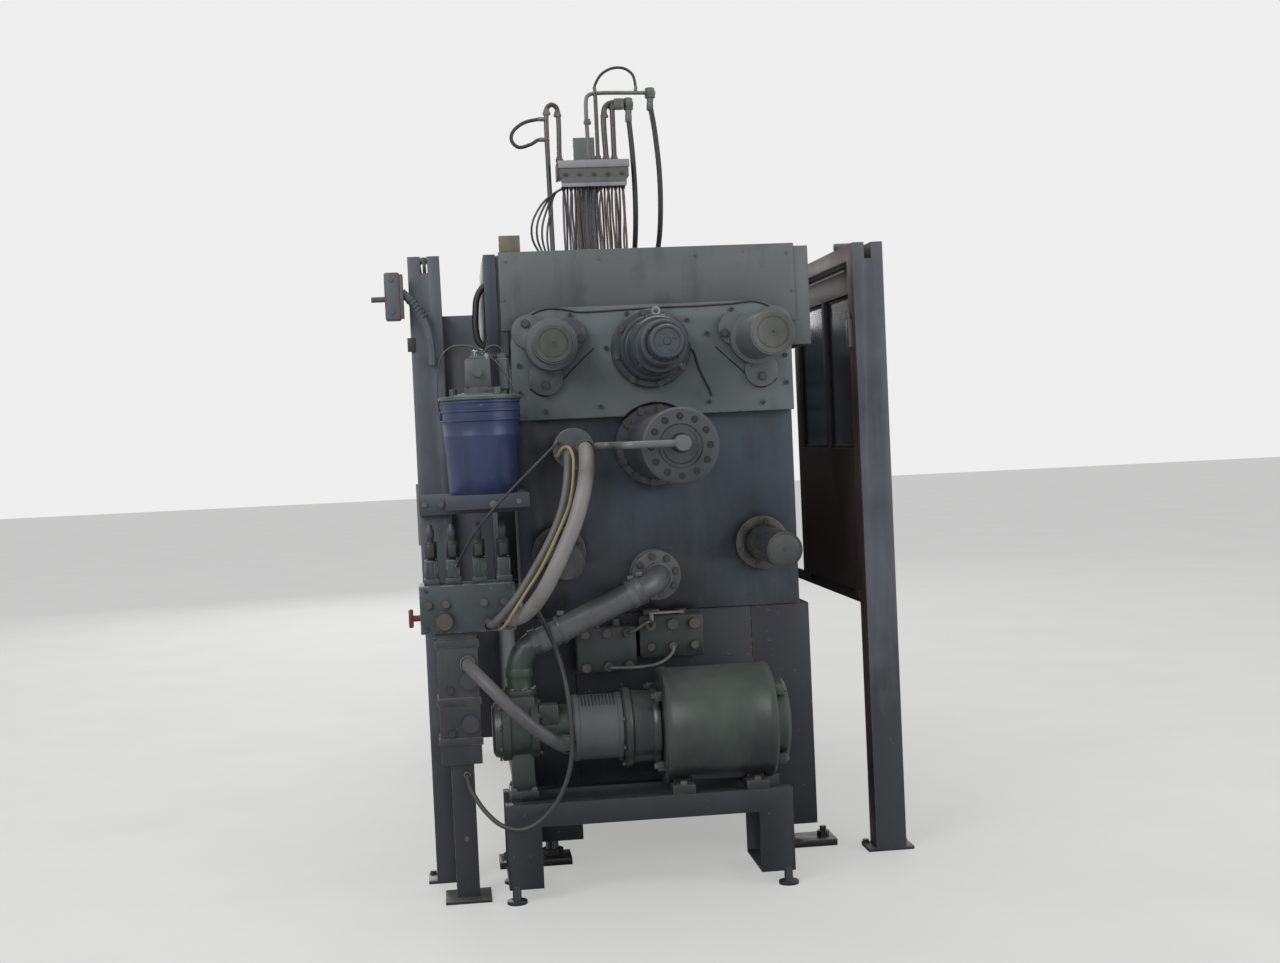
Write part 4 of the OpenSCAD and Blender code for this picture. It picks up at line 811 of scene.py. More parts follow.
        # Dark sealing bead along the top of the gear cover, which also paints the shadow in the seam there; painted
        # shadow lines in the seams beside the flanges; a clipped cable
        bead = [at(x, -2, z) for x, z in (
            (-508, 1975), (-497, 1998), (-440, 2040), (-390, 2060), (-341, 2060), (-305, 2054), (-270, 2046),
            (-209, 2045), (-76, 2049), (46, 2052), (167, 2052), (227, 2054), (300, 2056), (341, 2060),
            (390, 2060), (440, 2040), (497, 1998))]
        pipe("cover_bead_shadow", [bead], 0.0075, "dull_black", resolution=4, sides=2)
        seam = [at(x, -1, z) for x, z in (
            (-214, 1914), (-267, 1866), (-329, 1806), (-362, 1766), (-392, 1746), (-430, 1756), (-455, 1776))]
        other = [at(x, -1, z) for x, z in (
            (455, 1776), (430, 1756), (392, 1746), (362, 1766), (329, 1806), (267, 1866), (232, 1900))]
        cable = [at(x, -4, z) for x, z in ((140, 1898), (148, 1889), (159, 1852), (170, 1816), (187, 1779), (204, 1742),
                                           (210, 1722))]
        pipe("cover_seam_shadows", [seam, other], 0.0045, "recess_shade", resolution=4, sides=2)
        pipe("cover_cable", [cable], 0.007, "dull_black", resolution=4, sides=2)

        # Screws along the hood's plate, a dark strip at its left edge that paints the shade of the hood's side, and the
        # conduit at that edge
        bm = bmesh.new()
        for x in (-520, -180, 180, 520):
            hex_head(bm, at(x, 40, 2240), BACK, 0.006, washer=False)
        for x in (-535, 535):
            hex_head(bm, at(x, 40, 2100), BACK, 0.006, washer=False)
        for u in (140, 420, 700, 980, 1260):
            for x in (-560, 560):
                hex_head(bm, at(x, u, 2265), UP, 0.01)
        piece("hood_screws", bm, "machine_paint")
        bm = bmesh.new()
        block(bm, at(-600, 36, 1918), at(-556, 41, 2268), 0.002)
        piece("hood_side_shade", bm, "shelf_paint")
        pipe("hood_conduit", [[at(*p) for p in (
            (-556, 90, 2188), (-590, 90, 2167), (-622, 90, 2128), (-634, 90, 2066), (-636, 90, 2000),
            (-624, 90, 1952), (-592, 90, 1930))]], 0.024, "black_rubber")
        bm = bmesh.new()
        bar(bm, at(-606, 90, 1932), at(-585, 90, 1926), 0.019, steps=20)
        bar(bm, at(-556, 90, 2190), at(-582, 90, 2173), 0.019, steps=20)
        piece("conduit_glands", bm, "grey_metal")
        return {"FINISHED"}


# ---------------------------------------------------------------- pump set


class MACHINE_OT_pump_set(bpy.types.Operator):
    """Model the motor, its bell housing, the pump and the suction pipe"""
    bl_idname = "machine.pump_set"
    bl_label = "Pump set"

    def execute(self, context):
        low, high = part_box("pump_motor")
        axis = Vector((low.x, at(0, -200, 0).y, 0.56))
        shield = at(-62, 0, 0).x - low.x
        body = at(335, 0, 0).x - low.x
        end = high.x - low.x
        bm = bmesh.new()
        turned(bm, [(0, 0), (0, 0.132), (0.006, 0.14), (0.024, 0.14), (0.03, 0.136), (0.034, 0.13),
                    (shield - 0.03, 0.126), (shield - 0.022, 0.132), (shield - 0.006, 0.132), (shield - 0.004, 0.122),
                    (shield, 0.12), (shield, 0.196), (shield + 0.009, 0.205), (shield + 0.03, 0.205),
                    (shield + 0.034, 0.202), (body - 0.034, 0.202), (body - 0.03, 0.205), (body - 0.009, 0.205),
                    (body, 0.197), (body, 0.192), (body + 0.004, 0.165), (body + 0.006, 0.15),
                    (end - 0.016, 0.15), (end - 0.004, 0.14), (end, 0.128), (end, 0)], axis, RIGHT, 72)
        for x in (0, 260):
            block(bm, at(x - 40, -350, 340), at(x + 40, -50, 372), 0.004)
            block(bm, at(x - 30, -300, 365), at(x + 30, -100, 470), 0.004)
        for k in range(4):
            a = math.radians(45 + 90 * k)
            spot = axis + RIGHT * (body - 0.002) + Vector((0, math.cos(a), math.sin(a))) * 0.172
            block(bm, spot - Vector((0.0, 0.018, 0.018)), spot + Vector((0.034, 0.018, 0.018)), 0.004)
            spot = axis + RIGHT * shield + Vector((0, math.cos(a), math.sin(a))) * 0.172
            block(bm, spot - Vector((0.026, 0.016, 0.016)), spot + Vector((0.004, 0.016, 0.016)), 0.004)
        piece("pump_motor_cast", bm, "motor_paint", replaces=("pump_motor",))
        bm = bmesh.new()
        for k in range(4):
            a = math.radians(45 + 90 * k)
            ray = Vector((0, math.cos(a), math.sin(a)))
            hex_head(bm, axis + RIGHT * (body + 0.032) + ray * 0.172, RIGHT, 0.012)
            hex_head(bm, axis + RIGHT * (shield - 0.026) + ray * 0.172, LEFT, 0.012)
        for place in around(axis, LEFT, 0.13, 8, 0.39):
            if place.z < axis.z + 0.09:
                hex_head(bm, place, LEFT, 0.008)
        for x in (0, 260):
            for u in (-335, -65):
                hex_head(bm, at(x, u, 372), UP, 0.014)
        piece("motor_screws", bm, "bolt_steel")
        bm = bmesh.new()
        for k in range(9):
            r = 0.022 + k * 0.0118
            turned(bm, [(0, r), (0.0025, r + 0.001), (0.0025, r + 0.004), (0, r + 0.005)],
                   Vector((high.x - 0.0005, axis.y, axis.z)), RIGHT, 40)
        bar(bm, Vector((high.x - 0.002, axis.y, axis.z)), Vector((high.x + 0.003, axis.y, axis.z)), 0.016, steps=24)
        piece("cowl_grille", bm, "dull_black")

        # Grey drum over the coupling, with cooling slots along its top painted as dark strips of shade
        low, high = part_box("coupling_guard")
        axis = Vector((low.x, at(0, -200, 0).y, (low.z + high.z) / 2))
        long, r = high.x - low.x, (high.z - low.z) / 2
        bm = bmesh.new()
        turned(bm, [(0, 0.05), (0, r - 0.004), (0.004, r), (0.018, r), (0.021, r - 0.004), (long - 0.021, r - 0.004),
                    (long - 0.018, r), (long - 0.004, r), (long, r - 0.004), (long, 0.05)], axis, RIGHT)
        piece("coupling_drum", bm, "drum_paint", replaces=("coupling_guard",))
        bm = bmesh.new()
        for k in range(10):
            slot = axis + RIGHT * (long / 2 + (k - 4.5) * 0.0125)
            for a in range(52, 84, 5):
                strip(bm, slot, r - 0.0044, math.radians(a), (0.005, 0.0106, 0.002))
        piece("drum_slot_shade", bm, "recess_shade")

        # Pump body with its flanges
        low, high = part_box("pump")
        bm = bmesh.new()
        centre = at(-650, -200, 580)
        turned(bm, [(0, 0), (0, 0.08), (0.008, 0.094), (0.03, 0.1), (0.034, 0.11), (0.06, 0.11), (0.064, 0.1),
                    (0.128, 0.098), (0.134, 0.11), (0.158, 0.11), (0.162, 0.106), (0.162, 0.082), (0.17, 0.075),
                    (0.282, 0.075), (0.282, 0)], centre, RIGHT)
        block(bm, at(-610, -270, 580), at(-500, -130, 700), 0.008)
        bar(bm, at(-405, -200, 540), at(-405, -318, 540), 0.024, steps=28)
        bar(bm, at(-405, -300, 540), at(-405, -330, 540), 0.028, 0.002, steps=28)
        block(bm, at(-600, -280, 340), at(-500, -120, 372), 0.004)
        block(bm, at(-590, -255, 365), at(-510, -145, 500), 0.004)
        block(bm, at(-488, -280, 600), at(-420, -215, 668), 0.005)
        piece("pump_cast", bm, "motor_paint", replaces=("pump",))
        bm = bmesh.new()
        for place in around(centre + RIGHT * 0.03, LEFT, 0.1, 8, 0.2):
            hex_head(bm, place, LEFT, 0.01)
        for place in around(centre + RIGHT * 0.162, RIGHT, 0.094, 8, 0.2):
            hex_head(bm, place, RIGHT, 0.01)
        for x in (-585, -515):
            for u in (-265, -135):
                hex_head(bm, at(x, u, 372), UP, 0.012)
        for place in around(at(-549, -200, 720), UP, 0.051, 8, 0.2):
            hex_head(bm, place, UP, 0.009)
        for place in around(at(-30, -60, 1080), BACK, 0.072, 8, 0.2):
            hex_head(bm, place, BACK, 0.012)
        piece("pump_screws", bm, "bolt_steel")

        dressed("suction_pipe", "pipe_metal", 0.002, patch=("motor_paint", lambda f: f.calc_center_median().z < 0.87))
        # Clamps on the suction pipe, below its upper flange and above its lower bend
        start, ahead = at(-205, -213, 1004), (at(-549, -200, 850) - at(-30, -230, 1080)).normalized()
        bm = bmesh.new()
        for far, width in ((-0.115, 0.03), (-0.075, 0.014), (0.2, 0.014)):
            turned(bm, [(0, 0.046), (0, 0.0505), (0.002, 0.0525), (width - 0.002, 0.0525), (width, 0.0505),
                        (width, 0.046)], start + ahead * far, ahead, 40)
            block(bm, start + ahead * (far + width / 2) + Vector((-0.012, -0.012, 0.05)),
                  start + ahead * (far + width / 2) + Vector((0.012, 0.012, 0.066)), 0.002)
        piece("pipe_clamps", bm, "grey_metal")

        # Green valve blocks between the motor and the rear platen
        dressed("valve_blocks", "block_paint", 0.003)
        bm = bmesh.new()
        for x, z in ((-300, 880), (-220, 880), (-145, 880), (-300, 760), (-220, 760), (-145, 760)):
            bar(bm, at(x, -60, z), at(x, -78, z), 0.017, steps=20)
        for x in (-60, 20, 100):
            bar(bm, at(x, -40, 900), at(x, -70, 900), 0.02, steps=20)
            bar(bm, at(x, -40, 820), at(x, -58, 820), 0.015, steps=20)
        for x in (-290, -180):
            bar(bm, at(x, 0, 900), at(x, 0, 925), 0.02, steps=20)
        block(bm, at(-80, -20, 930), at(-20, 40, 952), 0.003)
        bar(bm, at(60, 10, 930), at(60, 10, 948), 0.024, steps=24)
        piece("valve_block_plugs", bm, "bolt_steel")
        pipe("valve_block_pipes", [
            bent([at(-250, -30, 900), at(-250, -30, 935), at(-250, 20, 945), at(-250, 50, 945)], 0.02),
            bent([at(-220, -78, 760), at(-220, -110, 760), at(-40, -110, 760), at(20, -60, 800), at(20, -56, 820)],
                 0.03),
            bent([at(-145, -78, 880), at(-145, -120, 880), at(-60, -120, 930), at(-60, -68, 900)], 0.03),
        ], 0.014, "grey_metal", resolution=5, sides=2)
        bm = bmesh.new()
        block(bm, at(-70, -110, 945), at(55, -88, 953), 0.002)
        bar(bm, at(-60, -99, 920), at(-60, -99, 946), 0.008, steps=16)
        piece("valve_lever", bm, "pale_plastic")
        return {"FINISHED"}


# ---------------------------------------------------------------- manifold, pail and lamp


class MACHINE_OT_manifold(bpy.types.Operator):
    """Model the valve manifold with its valve heads"""
    bl_idname = "machine.manifold"
    bl_label = "Valve manifold"

    def execute(self, context):
        low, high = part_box("valve_manifold")
        bm = bmesh.new()
        top = at(0, 0, 1105).z
        block(bm, Vector((low.x, low.y, low.z)), Vector((high.x, high.y, top)), 0.004)
        heads = [at(x, -225, 1105) for x in (-835, -760, -670, -585)]
        for head in heads:
            block(bm, head + Vector((-0.027, -0.05, 0)), head + Vector((0.027, 0.05, 0.022)), 0.002)
            block(bm, head + Vector((-0.023, -0.044, 0.022)), head + Vector((0.023, 0.044, 0.085)), 0.004)
        piece("manifold_block", bm, "manifold_paint", replaces=("valve_manifold",))
        bm = bmesh.new()
        for head in heads:
            turned(bm, [(0.085, 0.013), (0.09, 0.013), (0.09, 0.021), (0.093, 0.022), (0.146, 0.022), (0.149, 0.02),
                        (0.149, 0.012), (0.17, 0.012)], head, UP, 24)
            block(bm, head + Vector((-0.013, -0.072, 0.098)), head + Vector((0.013, -0.018, 0.138)), 0.003)
        piece("valve_coils", bm, "dull_black")
        bm = bmesh.new()
        for head in heads:
            turned(bm, [(0.16, 0), (0.16, 0.0125), (0.166, 0.0145), (0.186, 0.0145), (0.192, 0.012), (0.204, 0.009),
                        (0.208, 0.007), (0.208, 0)], head, UP, 16)
        for x, tall in ((-835, 0.058), (-670, 0.05)):
            for dx in (-0.013, 0, 0.013):
                block(bm, at(x, -270, 1127) + Vector((dx - 0.0035, -0.0012, 0)),
                      at(x, -269, 1127) + Vector((dx + 0.0035, 0, tall)), 0.0004)
        piece("valve_caps", bm, "manifold_paint")
        bm = bmesh.new()
        for head in heads:
            for dx, dy in ((-0.019, -0.04), (0.019, -0.04), (-0.019, 0.04), (0.019, 0.04)):
                cap_screw(bm, head + Vector((dx, dy, 0.022)), UP, 0.005)
            bar(bm, head, head + Vector((0, 0, 0.162)), 0.0105, steps=12)
        for x in (-850, -790, -660, -590):
            bar(bm, at(x, -300, 1040), at(x, -312, 1040), 0.014, steps=20)
        for x in (-860, -572):
            for z in (955, 1090):
                cap_screw(bm, at(x, -300, z), BACK, 0.008)
        turned(bm, [(0, 0.03), (0.008, 0.034), (0.03, 0.034), (0.034, 0.031), (0.03, 0.027), (0.03, 0)],
               at(-800, -300, 985), BACK, 28)
        piece("manifold_fittings", bm, "bolt_steel")
        bm = bmesh.new()
        bar(bm, at(-905, -225, 990), at(-880, -225, 990), 0.011, steps=16)
        block(bm, at(-921, -236, 958), at(-905, -214, 1022), 0.004)
        piece("drain_handle", bm, "dark_red")
        # Couplings on the stand, below the manifold
        bm = bmesh.new()
        for z in (900, 700, 560):
            block(bm, at(-836, -284, z - 14), at(-684, -156, z + 14), 0.003)
        for z in (770, 620):
            bar(bm, at(-725, -280, z), at(-725, -300, z), 0.03, steps=24)
        bar(bm, at(-725, -262, 832), at(-725, -281, 832), 0.034, 0.002, steps=28)
        bar(bm, at(-745, -250, 440), at(-745, -262, 440), 0.014, steps=20)
        for z in (740, 590):
            hex_head(bm, at(-790, -280, z), BACK, 0.014)
        piece("stand_couplings", bm, "stand_paint")
        return {"FINISHED"}


class MACHINE_OT_pail(bpy.types.Operator):
    """Model the lubricant pail with its lid, bail and pump"""
    bl_idname = "machine.pail"
    bl_label = "Lubricant pail"

    def execute(self, context):
        low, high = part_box("pail")
        centre = Vector(((low.x + high.x) / 2, (low.y + high.y) / 2, low.z))
        rim, tall = (high.x - low.x) / 2, high.z - low.z
        foot = rim - 0.021
        bm = bmesh.new()
        wall = [(0.004, 0), (0.004, foot - 0.014), (0, foot - 0.012), (0, foot - 0.003), (0.004, foot)]
        for share in (0.62,):
            z, r = tall * share, foot + (rim - 0.006 - foot) * share
            wall += [(z - 0.005, r - 0.0004), (z, r + 0.0016), (z + 0.005, r + 0.0002)]
        wall += [(tall - 0.074, rim - 0.0075), (tall - 0.07, rim - 0.001), (tall - 0.066, rim - 0.001),
                 (tall - 0.062, rim - 0.006), (tall - 0.042, rim - 0.0055), (tall - 0.038, rim - 0.001),
                 (tall - 0.033, rim - 0.001), (tall - 0.029, rim - 0.005), (tall - 0.012, rim - 0.004),
                 (tall - 0.008, rim), (tall - 0.002, rim), (tall, rim - 0.002), (tall, rim - 0.005),
                 (tall - 0.01, rim - 0.007), (0.007, foot - 0.004), (0.007, 0)]
        turned(bm, wall, centre, UP, 72)
        for side in (-1, 1):
            block(bm, centre + Vector((side * (rim - 0.002) - 0.004, -0.016, tall - 0.064)),
                  centre + Vector((side * (rim - 0.002) + 0.004, 0.016, tall - 0.036)), 0.002)
        piece("pail_shell", bm, "pail_blue", replaces=("pail",))

        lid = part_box("pail_lid")
        bm = bmesh.new()
        thick = lid[1].z - lid[0].z
        top = centre + UP * (lid[0].z - centre.z)
        r = (lid[1].x - lid[0].x) / 2
        turned(bm, [(0, 0), (0, r - 0.004), (0.003, r), (thick * 0.5, r), (thick * 0.62, r - 0.004),
                    (thick * 0.62, r - 0.013), (thick * 0.42, r - 0.017), (thick * 0.42, r - 0.03),
                    (thick * 0.8, r - 0.052), (thick, r - 0.075), (thick, 0)], top, UP, 72)
        piece("pail_cover", bm, "pail_lid_paint", replaces=("pail_lid",))

        # Pump on the lid: foot, block, small clear bowl and its knob
        base = top + UP * thick
        bm = bmesh.new()
        turned(bm, [(0, 0), (0, 0.055), (0.012, 0.055), (0.016, 0.05), (0.022, 0.05), (0.022, 0)], base, UP, 40)
        block(bm, base + Vector((-0.046, -0.042, 0.02)), base + Vector((0.04, 0.042, 0.118)), 0.006)
        block(bm, base + Vector((-0.03, -0.036, 0.116)), base + Vector((0.026, 0.036, 0.128)), 0.004)
        bar(bm, base + Vector((-0.004, -0.042, 0.07)), base + Vector((-0.004, -0.066, 0.07)), 0.016, steps=24)
        for x, y in ((-0.09, 0.02), (0.085, 0.035), (0.06, -0.075)):
            bar(bm, base + Vector((x, y, -0.008)), base + Vector((x, y, 0.018)), 0.013, steps=20)
        for place in around(base + UP * 0.012, UP, 0.05, 6, 0.3):
            hex_head(bm, place, UP, 0.006)
        piece("lubricant_pump", bm, "pail_lid_paint", replaces=("pail_pump",))
        bm = bmesh.new()
        turned(bm, [(0.126, 0), (0.126, 0.02), (0.13, 0.022), (0.144, 0.018), (0.15, 0.008), (0.15, 0)],
               base + Vector((-0.004, 0, 0)), UP, 28)
        piece("clear_reservoir", bm, "clear_bowl")
        bm = bmesh.new()
        turned(bm, [(0.112, 0), (0.112, 0.006), (0.12, 0.008), (0.13, 0.008), (0.136, 0.005), (0.136, 0)],
               base + Vector((0.03, -0.03, 0)), UP, 16)
        piece("pump_knob", bm, "tube_pale")
        # A thin pale tube down the pail's left side: a painted highlight along the pail's edge.
        pipe("pail_edge_highlight", [[at(*p) for p in (
            (-782, -262, 1712), (-777, -262, 1690), (-770, -262, 1640), (-762, -262, 1540), (-757, -262, 1450),
            (-755, -262, 1412))]], 0.0055, "tube_pale", resolution=5, sides=2)
        bm = bmesh.new()
        bar(bm, base + Vector((0.085, 0.035, 0.01)), base + Vector((0.085, 0.035, 0.12)), 0.024, 0.004, steps=24)
        bar(bm, base + Vector((0.085, 0.035, 0.12)), base + Vector((0.085, 0.035, 0.135)), 0.017, steps=24)
        piece("line_filter", bm, "pail_lid_paint")
        arc = [centre + Vector(p) for p in (
            (-0.141, -0.012, tall - 0.05), (-0.143, -0.016, tall + 0.03), (-0.138, -0.02, tall + 0.1),
            (-0.124, -0.024, tall + 0.156), (-0.094, -0.027, tall + 0.184), (-0.052, -0.028, tall + 0.19),
            (-0.002, -0.027, tall + 0.178), (0.05, -0.024, tall + 0.142), (0.1, -0.02, tall + 0.075),
            (0.13, -0.016, tall + 0.01), (0.141, -0.012, tall - 0.05))]
        pipe("pail_bail", [arc], 0.006, "bolt_steel", resolution=5, sides=2)
        pipe("pump_lines", [
            bent([base + Vector((0.085, 0.035, 0.13)), base + Vector((0.085, 0.035, 0.16)),
                  base + Vector((0.03, 0.03, 0.165)), base + Vector((0.02, 0.02, 0.12))], 0.03),
        ], 0.009, "tube_metal", resolution=5, sides=2)
        # Bolts on the front of the shelf and on its strap
        bm = bmesh.new()
        bar(bm, at(-614, -416, 1380), at(-614, -424, 1380), 0.0135, 0.004, steps=20)
        hex_head(bm, at(-528, -416, 1388), BACK, 0.009)
        for x in (-850, -790):
            hex_head(bm, at(x, -30, 1375), BACK, 0.01)
        piece("shelf_screws", bm, "grey_metal")
        return {"FINISHED"}


class MACHINE_OT_lamp(bpy.types.Operator):
    """Model the work lamp on its bent tube"""
    bl_idname = "machine.lamp"
    bl_label = "Work lamp"

    def execute(self, context):
        bm = bmesh.new()
        block(bm, at(-955, -75, 2035), at(-900, -15, 2205), 0.008, 3)
        block(bm, at(-902, -70, 2042), at(-889, -20, 2198), 0.003)
        bar(bm, at(-955, -45, 2112), at(-1003, -45, 2112), 0.01, steps=20)
        bar(bm, at(-798, -45, 1892), at(-798, 0, 1892), 0.017, 0.002, steps=24)
        for z in (2062, 2178):
            bar(bm, at(-930, -75, z), at(-930, -81, z), 0.007, steps=16)
        piece("lamp_housing", bm, "guard_paint", replaces=("lamp",))
        pipe("lamp_tube", [[at(*p) for p in (
            (-895, -45, 2136), (-868, -45, 2108), (-840, -45, 2068), (-818, -45, 2020), (-804, -45, 1965),
            (-799, -45, 1915), (-798, -45, 1872))]], 0.03, "guard_paint", resolution=6, sides=4)
        bm = bmesh.new()
        for k in range(6):
            turned(bm, [(0, 0.0148), (0.004, 0.0168), (0.008, 0.0148)], at(-868 + k * 9, -45, 2108 - k * 12),
                   (at(-840, -45, 2068) - at(-868, -45, 2108)), 20)
        block(bm, at(-884, -8, 1925), at(-858, 4, 1975), 0.002)
        piece("lamp_collars", bm, "dull_black")
        return {"FINISHED"}


# ---------------------------------------------------------------- guards


class MACHINE_OT_guards(bpy.types.Operator):
    """Model the sliding doors, their rollers, handles and window trims"""
    bl_idname = "machine.guards"
    bl_label = "Guards"

    def execute(self, context):
        thin = sizes().sheet_edge
        for side, body in ((-1, "door_left"), (1, "door_right")):
            def inner(face, side=side):
                return face.normal.x * side < -0.7

            def low_inner(face, inner=inner):
                return inner(face) and face.calc_center_median().z < 2.17

            dressed("guard_frame_" + body[5:], "guard_paint", thin, patch=("red_primer", inner))
            dressed(body, "guard_paint", thin, body=body, patch=("red_primer", low_inner))
            low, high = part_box("panes_" + body[5:])
            middle = (low.x + high.x) / 2
            bm = bmesh.new()
            for u0, u1 in ((205, 690), (740, 1225)):
                for out in (-1, 1):
                    x0, x1 = sorted((middle + out * 0.003, middle + out * 0.0065))
                    a, b = at(0, u0, 1500), at(0, u1, 2095)
                    for lo, hi in ((Vector((x0, a.y, a.z)), Vector((x1, b.y, a.z + 0.014))),
                                   (Vector((x0, a.y, b.z - 0.014)), Vector((x1, b.y, b.z))),
                                   (Vector((x0, a.y, a.z)), Vector((x1, a.y + 0.014, b.z))),
                                   (Vector((x0, b.y - 0.014, a.z)), Vector((x1, b.y, b.z)))):
                        block(bm, lo, hi, 0.001)
            piece("window_trim_" + body[5:], bm, "black_rubber", body)
            # Handle on the outer face, hanger screws, roller pins
            bm = bmesh.new()
            face = middle + side * 0.017
            grip, handle_y = face + side * 0.042, at(0, 240, 0).y
            for z in (1.23, 1.43):
                bar(bm, Vector((face, handle_y, z)), Vector((grip, handle_y, z)), 0.008, steps=16)
            bar(bm, Vector((grip, handle_y, 1.215)), Vector((grip, handle_y, 1.445)), 0.011, steps=20)
            for u in (315, 1215):
                for du in (-22, 22):
                    hex_head(bm, Vector((face, at(0, u + du, 0).y, 2.152)), RIGHT * side, 0.01)
                pin = Vector((middle, at(0, u, 0).y, 2.2803))
                bar(bm, pin - RIGHT * 0.054, pin + RIGHT * 0.054, 0.01, steps=20)
            piece("door_fittings_" + body[5:], bm, "grey_metal", body)
            bm = bmesh.new()
            inner, outer = sorted((middle + side * 0.016, middle + side * 0.019))
            for z in (1.18, 1.06):
                block(bm, Vector((inner, at(0, 320, 0).y, z)), Vector((outer, at(0, 1110, 0).y, z + 0.008)), 0.001)
            piece("door_folds_" + body[5:], bm, "guard_paint", body)
            # Feet screws and a limit switch on the posts
            bm = bmesh.new()
            for u in (110,):
                for dx in (-72, 72):
                    hex_head(bm, at(side * 814 + dx, u, 12), UP, 0.014)
            piece("post_screws_" + body[5:], bm, "bolt_steel")
        bm = bmesh.new()
        block(bm, at(740, 40, 1880), at(757, 82, 1985), 0.003)
        bar(bm, at(748, 60, 1985), at(748, 60, 2010), 0.008, steps=16)
        block(bm, at(-757, 30, 1560), at(-740, 80, 1650), 0.003)
        piece("limit_switches", bm, "grey_metal")
        return {"FINISHED"}


# ---------------------------------------------------------------- sprayer


